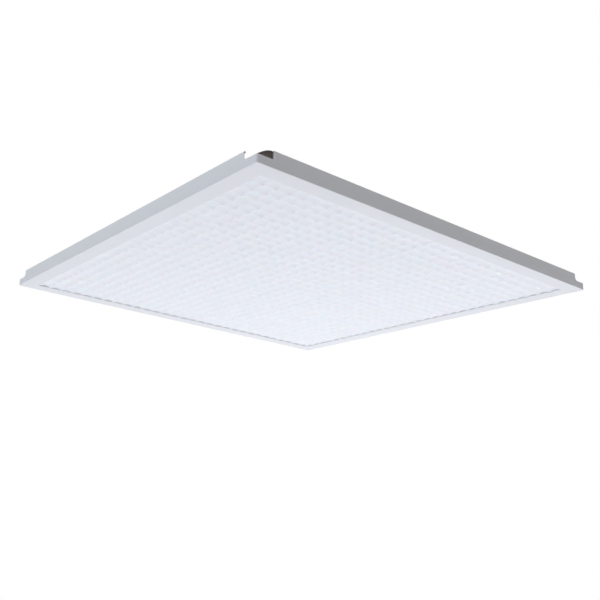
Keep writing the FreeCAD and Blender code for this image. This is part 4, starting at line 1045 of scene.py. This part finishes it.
@dataclass
class SwingClip:
    """A moulded clip: a blade with an arched top and a panel, an arm and a boss."""

    half: float
    start: float = 2.0 * MM
    end: float = 21.4 * MM
    inset: float = 1.6 * MM
    sheet: float = 2.2 * MM
    bottom: float = 9.9 * MM
    shoulder: float = 10.8 * MM
    top: float = 19.4 * MM
    columns: int = 10
    rim: float = 1.3 * MM
    panel: float = 0.55 * MM
    pivot: tuple[float, float] = (7.0 * MM, 8.0 * MM)
    boss: float = 4.4 * MM
    boss_foot: float = 4.9 * MM
    hole: float = 1.97 * MM
    drill: float = 20 * MM
    edge: float = 0.22 * MM

    def blade(self) -> bpy.types.Object:
        """Models the blade behind the notch.

        Returns:
            The blade.
        """
        left, right = self.start - self.half, self.end - self.half
        outside = self.inset - self.half
        piece = add_block(
            "clip_blade", (left, outside, self.bottom), (right, outside + self.sheet, self.shoulder)
        )
        step = (right - left) / self.columns
        with editing(piece):
            pick(Kind.EDGE, lambda middle, edge: abs(middle.x - (left + right) / 2) < TINY)
            bpy.ops.mesh.subdivide(number_cuts=self.columns - 1)
            for column in range(1, self.columns + 1):
                pick(
                    Kind.POINT,
                    lambda spot, _: spot.z > self.shoulder - TINY
                    and abs(spot.x - left - column * step) < TINY,
                )
                arch = math.sin(column / self.columns * math.pi / 2)
                shift(z=(self.top - self.shoulder) * arch)
            pick(Kind.FACE, lambda middle, face: abs(middle.y - outside) < TINY)
            bpy.ops.mesh.inset(thickness=self.rim, depth=-self.panel, use_even_offset=True)
        return piece

    def build(self) -> None:
        """Builds both clips, the far one a half turn from the near one, and dresses them."""
        along, across = self.pivot[0] - self.half, self.pivot[1] - self.half
        height = self.shoulder - self.boss_foot
        boss = add_rod("clip_boss", (along, across, self.boss_foot + height / 2), self.boss, height)
        arm = add_block(
            "clip_arm",
            (along - self.boss, self.inset + self.sheet / 2 - self.half, self.bottom),
            (along + self.boss, across, self.shoulder),
        )
        pieces = [self.blade(), boss, arm]
        for piece in pieces[1:]:
            cut_away(piece, add_rod("clip_hole", (along, across, self.shoulder), self.hole, self.drill))
        for piece in pieces:
            round_edges(piece, self.edge)
        near = smooth(joined(pieces, "moulded_near_clip"))
        far = settle(copied(near, (0, 0, 0), 2), "moulded_far_clip")
        dress(near, BROWN_NYLON, "near_clip", ["near_clip"])
        dress(far, BROWN_NYLON, "far_clip", ["far_clip"])


@dataclass
class CableGland:
    """The gland in the driver box's end: hexagon, ribbed cap, threaded shank and a clear bore."""

    across: float = -22.0 * MM
    height: float = 48.0 * MM
    wall: float = -80.0 * MM
    hexagon: float = 12.0 * MM
    hexagon_length: float = 6.0 * MM
    cap: float = 10.0 * MM
    rib: float = 0.8 * MM
    cap_length: float = 15.0 * MM
    ribs: int = 18
    shank: float = 7.9 * MM
    inside: float = 11.0 * MM
    thread: float = 1.5 * MM
    thread_depth: float = 0.45 * MM
    bore: float = 4.5 * MM
    bore_start: float = -20 * MM
    bore_length: float = 60 * MM
    rib_slope: float = 0.12 * MM
    mouth_ring: float = 1.2 * MM
    hexagon_edge: float = 0.5 * MM
    cap_edge: float = 0.2 * MM

    def rod(self, name: str, radius: float, start: float, length: float, sides: int) -> bpy.types.Object:
        """Adds a rod on the gland's axis that begins at a distance from the box's wall."""
        centre = (self.across, self.wall - start - length / 2, self.height)
        return add_rod(name, centre, radius, length, Axis.Y, sides)

    def ribbed_cap(self) -> bpy.types.Object:
        """Models the cap with grip ribs round it and a rounded mouth.

        Returns:
            The cap.
        """
        sides = 2 * self.ribs
        piece = self.rod("gland_cap", self.cap - self.rib, self.hexagon_length, self.cap_length, sides)
        mouth = self.wall - self.hexagon_length - self.cap_length
        with editing(piece):
            pick(Kind.FACE, lambda middle, face: self.is_rib(middle, face, sides))
            bpy.ops.mesh.inset(thickness=self.rib_slope, depth=self.rib, use_individual=True)
            pick(Kind.FACE, lambda middle, face: abs(middle.y - mouth) < TINY)
            bpy.ops.mesh.inset(thickness=self.mouth_ring, depth=0.0)
        return piece

    def is_rib(self, middle: Vector, face: Any, sides: int) -> bool:
        """Tells whether a face of the cap is one that a rib stands on: every second side face.

        Args:
            middle: The face's middle.
            face: The face.
            sides: How many side faces the cap has.

        Returns:
            Whether a rib stands on it.
        """
        if abs(face.normal.y) > 0.5:
            return False
        angle = math.atan2(middle.z - self.height, middle.x - self.across) % math.tau
        return int(angle / math.tau * sides) % 2 == 0

    def threaded_shank(self) -> bpy.types.Object:
        """Models the shank with the grooves of its thread.

        Returns:
            The shank.
        """
        piece = self.rod("gland_shank", self.shank, -self.inside, self.inside, 36)
        count = int(self.inside / (self.thread / 2)) - 1
        with editing(piece):
            pick(Kind.EDGE, lambda middle, edge: abs(edge.verts[0].co.y - edge.verts[1].co.y) > TINY)
            bpy.ops.mesh.subdivide(number_cuts=count)
            step = self.inside / (count + 1)
            pick(
                Kind.POINT,
                lambda spot, _: 0 < round((spot.y - self.wall) / step) <= count
                and round((spot.y - self.wall) / step) % 2 == 0,
            )
            share = 1 - self.thread_depth / self.shank
            stretch(share, 1.0, share, (self.across, self.wall, self.height))
        return piece

    def build(self) -> None:
        """Builds the gland and dresses it."""
        hexagon = self.rod("gland_hexagon", self.hexagon, 0.0, self.hexagon_length, 6)
        round_edges(hexagon, self.hexagon_edge, 3)
        cap = self.ribbed_cap()
        round_edges(cap, self.cap_edge, 2, 50.0)
        pieces = [hexagon, cap, self.threaded_shank()]
        for piece in pieces:
            cut_away(piece, self.rod("gland_bore", self.bore, self.bore_start, self.bore_length, 32))
        piece = smooth(joined(pieces, "moulded_gland"))
        dress(piece, BLACK_NYLON, replaces=["cable_gland"])


@dataclass
class ScrewSet:
    """Pan head screws with a cross recess, all alike, that stand in one node."""

    name: str
    node: str
    places: Sequence[tuple[float, float]]
    seat: float
    length: float = 5.5 * MM
    head: float = 3.6 * MM
    crown: float = 2.2 * MM
    shank: float = 1.9 * MM
    recess: tuple[float, float, float] = (3.6 * MM, 0.9 * MM, 1.3 * MM)
    roundness: float = 0.65
    turn: float = 0.1

    def screw(self) -> bpy.types.Object:
        """Models one screw at the origin, with its head's foot at the seat's height.

        Returns:
            The screw.
        """
        top = self.seat + self.crown
        head = add_rod(self.name, (0, 0, self.seat + self.crown / 2), self.head, self.crown)
        with editing(head):
            pick(
                Kind.EDGE,
                lambda middle, edge: middle.z > top - TINY and middle.xy.length > self.head / 2,
            )
            soften(self.crown * self.roundness, 4)
        span, width, depth = self.recess
        for size_x, size_y in ((span, width), (width, span)):
            cutter = add_block(
                "cross_recess",
                (-size_x / 2, -size_y / 2, top - depth),
                (size_x / 2, size_y / 2, top + depth),
            )
            cut_away(head, cutter)
        middle = (0, 0, self.seat - self.length / 2)
        shank = add_rod("screw_shank", middle, self.shank, self.length, sides=20)
        return joined([head, shank], self.name)

    def build(self) -> None:
        """Sets a screw at each place and dresses them as one piece."""
        screw = self.screw()
        screws = [
            copied(screw, (x, y, 0.0), self.turn * count) for count, (x, y) in enumerate(self.places)
        ]
        bpy.data.objects.remove(screw)
        piece = smooth(joined(screws, self.name))
        dress(piece, ZINC, replaces=[self.node])


# How far the pan's screws lie from the wall that they run along and from the next one
PAN_SCREW_INSET = 10 * MM
PAN_SCREW_END = 40 * MM


def pan_screws(half: float) -> ScrewSet:
    """Sets out the screws through the pan's flange.

    Args:
        half: Half of the light's width.

    Returns:
        The screws, three beside each wall.
    """
    line = half - PAN_SCREW_INSET
    outer = half - PAN_SCREW_END
    places = [(side * line, along) for side in (-1, 1) for along in (-outer, 0.0, outer)]
    places += [(across, side * line) for side in (-1, 1) for across in (-outer, 0.0, outer)]
    return ScrewSet("pan_head_screws", "pan_screws", places, BackPan.flange_top)


CORNER_BLOCKS = [f"corner_block_{side}" for side in ("near", "right", "far", "left")]
SIDE_BRACKETS = [f"side_bracket_{side}" for side in ("front", "right", "back", "left")]
HANGERS = [f"hanger_{side}" for side in ("right_front", "right_back", "left_front", "left_back")]
LEVERS = [f"{pole}_lever" for pole in ("line", "neutral", "earth")]
RIVETS = [f"{place}_rivets" for place in ("board", "box", "hanger")]


@dataclass
class SoftenedPiece:
    """A piece with the form of its node in the frame and rounded edges."""

    node: str
    finish: Finish
    slot: str
    width: float = 0.3 * MM
    segments: int = 2
    body: str = "root"
    weld: float = 0.002 * MM
    flat: float = 1.0
    crease: float = 38.0

    def build(self) -> None:
        """Rounds the edges of a merged copy of the node and dresses it."""
        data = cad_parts[self.node].data.copy()
        piece = bpy.data.objects.new(f"{self.node}_finished", data)
        bpy.context.scene.collection.objects.link(piece)
        with editing(piece):
            pick(Kind.POINT, everything)
            bpy.ops.mesh.remove_doubles(threshold=self.weld)
            pick(Kind.FACE, everything)
            bpy.ops.mesh.dissolve_limited(angle_limit=math.radians(self.flat))
        round_edges(piece, self.width, self.segments)
        smooth(piece, self.crease)
        dress(piece, self.finish, self.body, [self.node])


def softened_pieces() -> list[SoftenedPiece]:
    """The pieces that keep the form of their node, with rounded edges.

    Returns:
        The pieces.
    """
    pieces = [
        SoftenedPiece("driver_box", PAN_PAINT, "pan_steel", 0.5 * MM, 3),
        SoftenedPiece("driver_cover", PAN_PAINT, "pan_steel", 0.5 * MM, 3, "driver_cover"),
        SoftenedPiece("led_driver", WHITE_CASE, "connector_white", 0.8 * MM, 3),
        SoftenedPiece("terminal_block", GREY_CASE, "block_grey", 0.35 * MM),
        SoftenedPiece("gland_nut", BLACK_NYLON, "black_nylon", 0.4 * MM),
        SoftenedPiece("earth_nut", BRASS, "brass", 0.3 * MM),
        SoftenedPiece("lead_grommet", RUBBER, "rubber_black", 0.4 * MM, 3),
        SoftenedPiece("board_connectors", WHITE_CASE, "connector_white"),
        SoftenedPiece("hinge_pins", ZINC, "zinc_steel", 0.3 * MM),
    ]
    pieces += [SoftenedPiece(node, GREY_NYLON, "grey_nylon", 0.5 * MM) for node in CORNER_BLOCKS]
    pieces += [SoftenedPiece(node, PAN_PAINT, "pan_steel", 0.25 * MM) for node in SIDE_BRACKETS]
    pieces += [SoftenedPiece(node, ZINC, "zinc_steel", 0.35 * MM) for node in HANGERS]
    pieces += [SoftenedPiece(node, ORANGE_CASE, "lever_orange", 0.4 * MM, 3, node) for node in LEVERS]
    pieces += [SoftenedPiece(node, ALUMINIUM, "rivet_metal", 0.6 * MM, 3) for node in RIVETS]
    return pieces


# Stage


@dataclass
class Stage:
    """The camera, the lamps, the world and the floor."""

    camera_place: tuple[float, float, float] = (-0.73581, -0.88292, -0.35380)
    camera_turn: tuple[float, float, float] = (106.2250, -2.2773, -39.1931)
    lens: float = 48.587
    camera_shift: tuple[float, float] = (0.0451, -0.0006)
    clip_start: float = 0.01
    ambient: float = 0.27
    ambient_colour: Colour = (0.99, 0.97, 1.0)
    floor_height: float = -1.6
    floor_half: float = 3.0
    floor_dark: Colour = (0.83, 0.83, 0.835)
    floor_light: Colour = (0.85, 0.85, 0.855)
    floor_glow: float = 0.4

    def camera(self) -> None:
        """Sets the camera at the photograph's place."""
        bpy.ops.object.camera_add(
            location=self.camera_place, rotation=[math.radians(turn) for turn in self.camera_turn]
        )
        camera = bpy.context.object
        camera.data.lens = self.lens
        camera.data.shift_x, camera.data.shift_y = self.camera_shift
        camera.data.clip_start = self.clip_start
        bpy.context.scene.camera = camera

    def lamp(
        self,
        name: str,
        place: Sequence[float],
        turn: Sequence[float],
        size: tuple[float, float],
        power: float,
        colour: Colour,
    ) -> None:
        """Adds a soft rectangular lamp that the camera doesn't see.

        Args:
            name: The lamp's name.
            place: Where it hangs.
            turn: Its turn in degrees; unturned it shines down.
            size: Its width and length.
            power: Its power in watts.
            colour: Its colour.
        """
        bpy.ops.object.light_add(
            type="AREA", location=tuple(place), rotation=[math.radians(angle) for angle in turn]
        )
        lamp = bpy.context.object
        lamp.name = name
        lamp.data.shape = "RECTANGLE"
        lamp.data.size, lamp.data.size_y = size
        lamp.data.energy = power
        lamp.data.color = colour
        lamp.visible_camera = False

    def world(self) -> None:
        """Makes the surroundings white to look at and dim as a lamp."""
        world = bpy.data.worlds.new("studio")
        bpy.context.scene.world = world
        world.use_nodes = True
        tree = world.node_tree
        tree.nodes.clear()
        path = tree.nodes.new("ShaderNodeLightPath")
        dim = tree.nodes.new("ShaderNodeBackground")
        dim.inputs["Color"].default_value = (*self.ambient_colour, 1.0)
        dim.inputs["Strength"].default_value = self.ambient
        white = tree.nodes.new("ShaderNodeBackground")
        seen = self.seen(tree, path)
        mix = tree.nodes.new("ShaderNodeMixShader")
        output = tree.nodes.new("ShaderNodeOutputWorld")
        tree.links.new(seen, mix.inputs["Fac"])
        tree.links.new(dim.outputs["Background"], mix.inputs[1])
        tree.links.new(white.outputs["Background"], mix.inputs[2])
        tree.links.new(mix.outputs["Shader"], output.inputs["Surface"])
        white.inputs["Color"].default_value = (1.0, 1.0, 1.0, 1.0)
        white.inputs["Strength"].default_value = 1.0

    @staticmethod
    def seen(tree: bpy.types.NodeTree, path: bpy.types.Node) -> bpy.types.NodeSocket:
        """Tells rays that see the background, straight or in a gloss, from rays that light.

        Args:
            tree: The node tree.
            path: Its light path node.

        Returns:
            A socket that is 1 for a camera, glossy or transmission ray.
        """
        first = tree.nodes.new("ShaderNodeMath")
        second = tree.nodes.new("ShaderNodeMath")
        first.operation = second.operation = "MAXIMUM"
        tree.links.new(path.outputs["Is Camera Ray"], first.inputs[0])
        tree.links.new(path.outputs["Is Glossy Ray"], first.inputs[1])
        tree.links.new(first.outputs["Value"], second.inputs[0])
        tree.links.new(path.outputs["Is Transmission Ray"], second.inputs[1])
        return second.outputs["Value"]

    def floor(self) -> None:
        """Lays a plain pale floor that keeps the object's shadow."""
        half = self.floor_half
        floor = add_plate("floor", (-half, -half, self.floor_height), (half, half, self.floor_height))
        graph = Graph("pale_floor")
        graph.tint(graph.noise(1.5), self.floor_dark, self.floor_light)
        graph.set(Roughness=0.9, Emission_Color=(1.0, 1.0, 1.0, 1.0))
        seen = self.seen(graph.tree, graph.node("LightPath"))
        glow = graph.node("Math", operation="MULTIPLY")
        glow.inputs[1].default_value = self.floor_glow
        graph.link(seen, glow.inputs[0])
        graph.link(glow.outputs["Value"], graph.shader.inputs["Emission Strength"])
        floor.data.materials.append(graph.material)

    def build(self) -> None:
        """Sets the stage."""
        self.camera()
        self.world()
        self.floor()
        self.lamp("lamp_below", (0.9, 0.7, -1.3), (180, 0, 0), (3.0, 3.0), 31.5, (0.91, 0.93, 1.0))
        self.lamp("lamp_left", (-2.2, 0, 0.1), (0, -90, 0), (1.6, 2.4), 17.5, (0.79, 0.88, 1.0))
        self.lamp("lamp_above", (0, 0, 1.8), (0, 0, 0), (2.4, 2.4), 30, (1.0, 1.0, 1.0))
        view = bpy.context.scene.view_settings
        view.view_transform = "Standard"


NODE_FINISHES: dict[Finish, Sequence[str]] = {
    WHITE_PAINT: ["face_frame", "seam_channel"],
    ACRYLIC: ["diffuser_left", "diffuser_right"],
    PAN_PAINT: ["back_pan", "driver_box", "driver_cover", *SIDE_BRACKETS],
    ZINC: [
        "pan_screws",
        "clip_pivots",
        "driver_screws",
        "terminal_screw",
        "hinge_pins",
        "earth_stud",
        *HANGERS,
    ],
    ALUMINIUM: RIVETS,
    BRASS: ["earth_nut"],
    BROWN_NYLON: ["near_clip", "far_clip"],
    BLACK_NYLON: ["cable_gland", "gland_nut"],
    GREY_NYLON: CORNER_BLOCKS,
    SOLDER_MASK: [f"led_board_{number}" for number in range(1, 7)],
    WHITE_FILM: ["reflector_sheet"],
    PHOSPHOR: ["led_chips"],
    CLEAR: ["led_optics"],
    WHITE_CASE: ["board_connectors", "led_driver"],
    GREY_CASE: ["terminal_block"],
    ORANGE_CASE: LEVERS,
    BROWN_WIRE: ["line_wire"],
    BLUE_WIRE: ["neutral_wire"],
    GREEN_WIRE: ["earth_wire"],
    WHITE_WIRE: ["link_wires", "output_leads"],
    RUBBER: ["lead_grommet"],
}


def dress_nodes() -> None:
    """Gives every node of the frame its finish."""
    for finish, nodes in NODE_FINISHES.items():
        for node in nodes:
            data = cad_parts[node].data
            data.materials.clear()
            data.materials.append(finish.material())
    LOG.info("%d nodes dressed", sum(len(nodes) for nodes in NODE_FINISHES.values()))


def main() -> None:
    """Builds the sub-assemblies in order and sets the stage."""
    logging.basicConfig(level=logging.INFO, format="%(name)s: %(message)s")
    Stage().build()
    dress_nodes()
    beyond_trays = 18.5 * MM
    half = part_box("diffuser_right")[1].y + beyond_trays
    FoldedFrame(half).build()
    DiffuserTray("diffuser_tray_right", "diffuser_right", False).build()
    DiffuserTray("diffuser_tray_left", "diffuser_left", True).build()
    BackPan().build()
    SwingClip(half).build()
    CableGland().build()
    pan_screws(half).build()
    for piece in softened_pieces():
        piece.build()


if __name__ == "__main__":
    main()
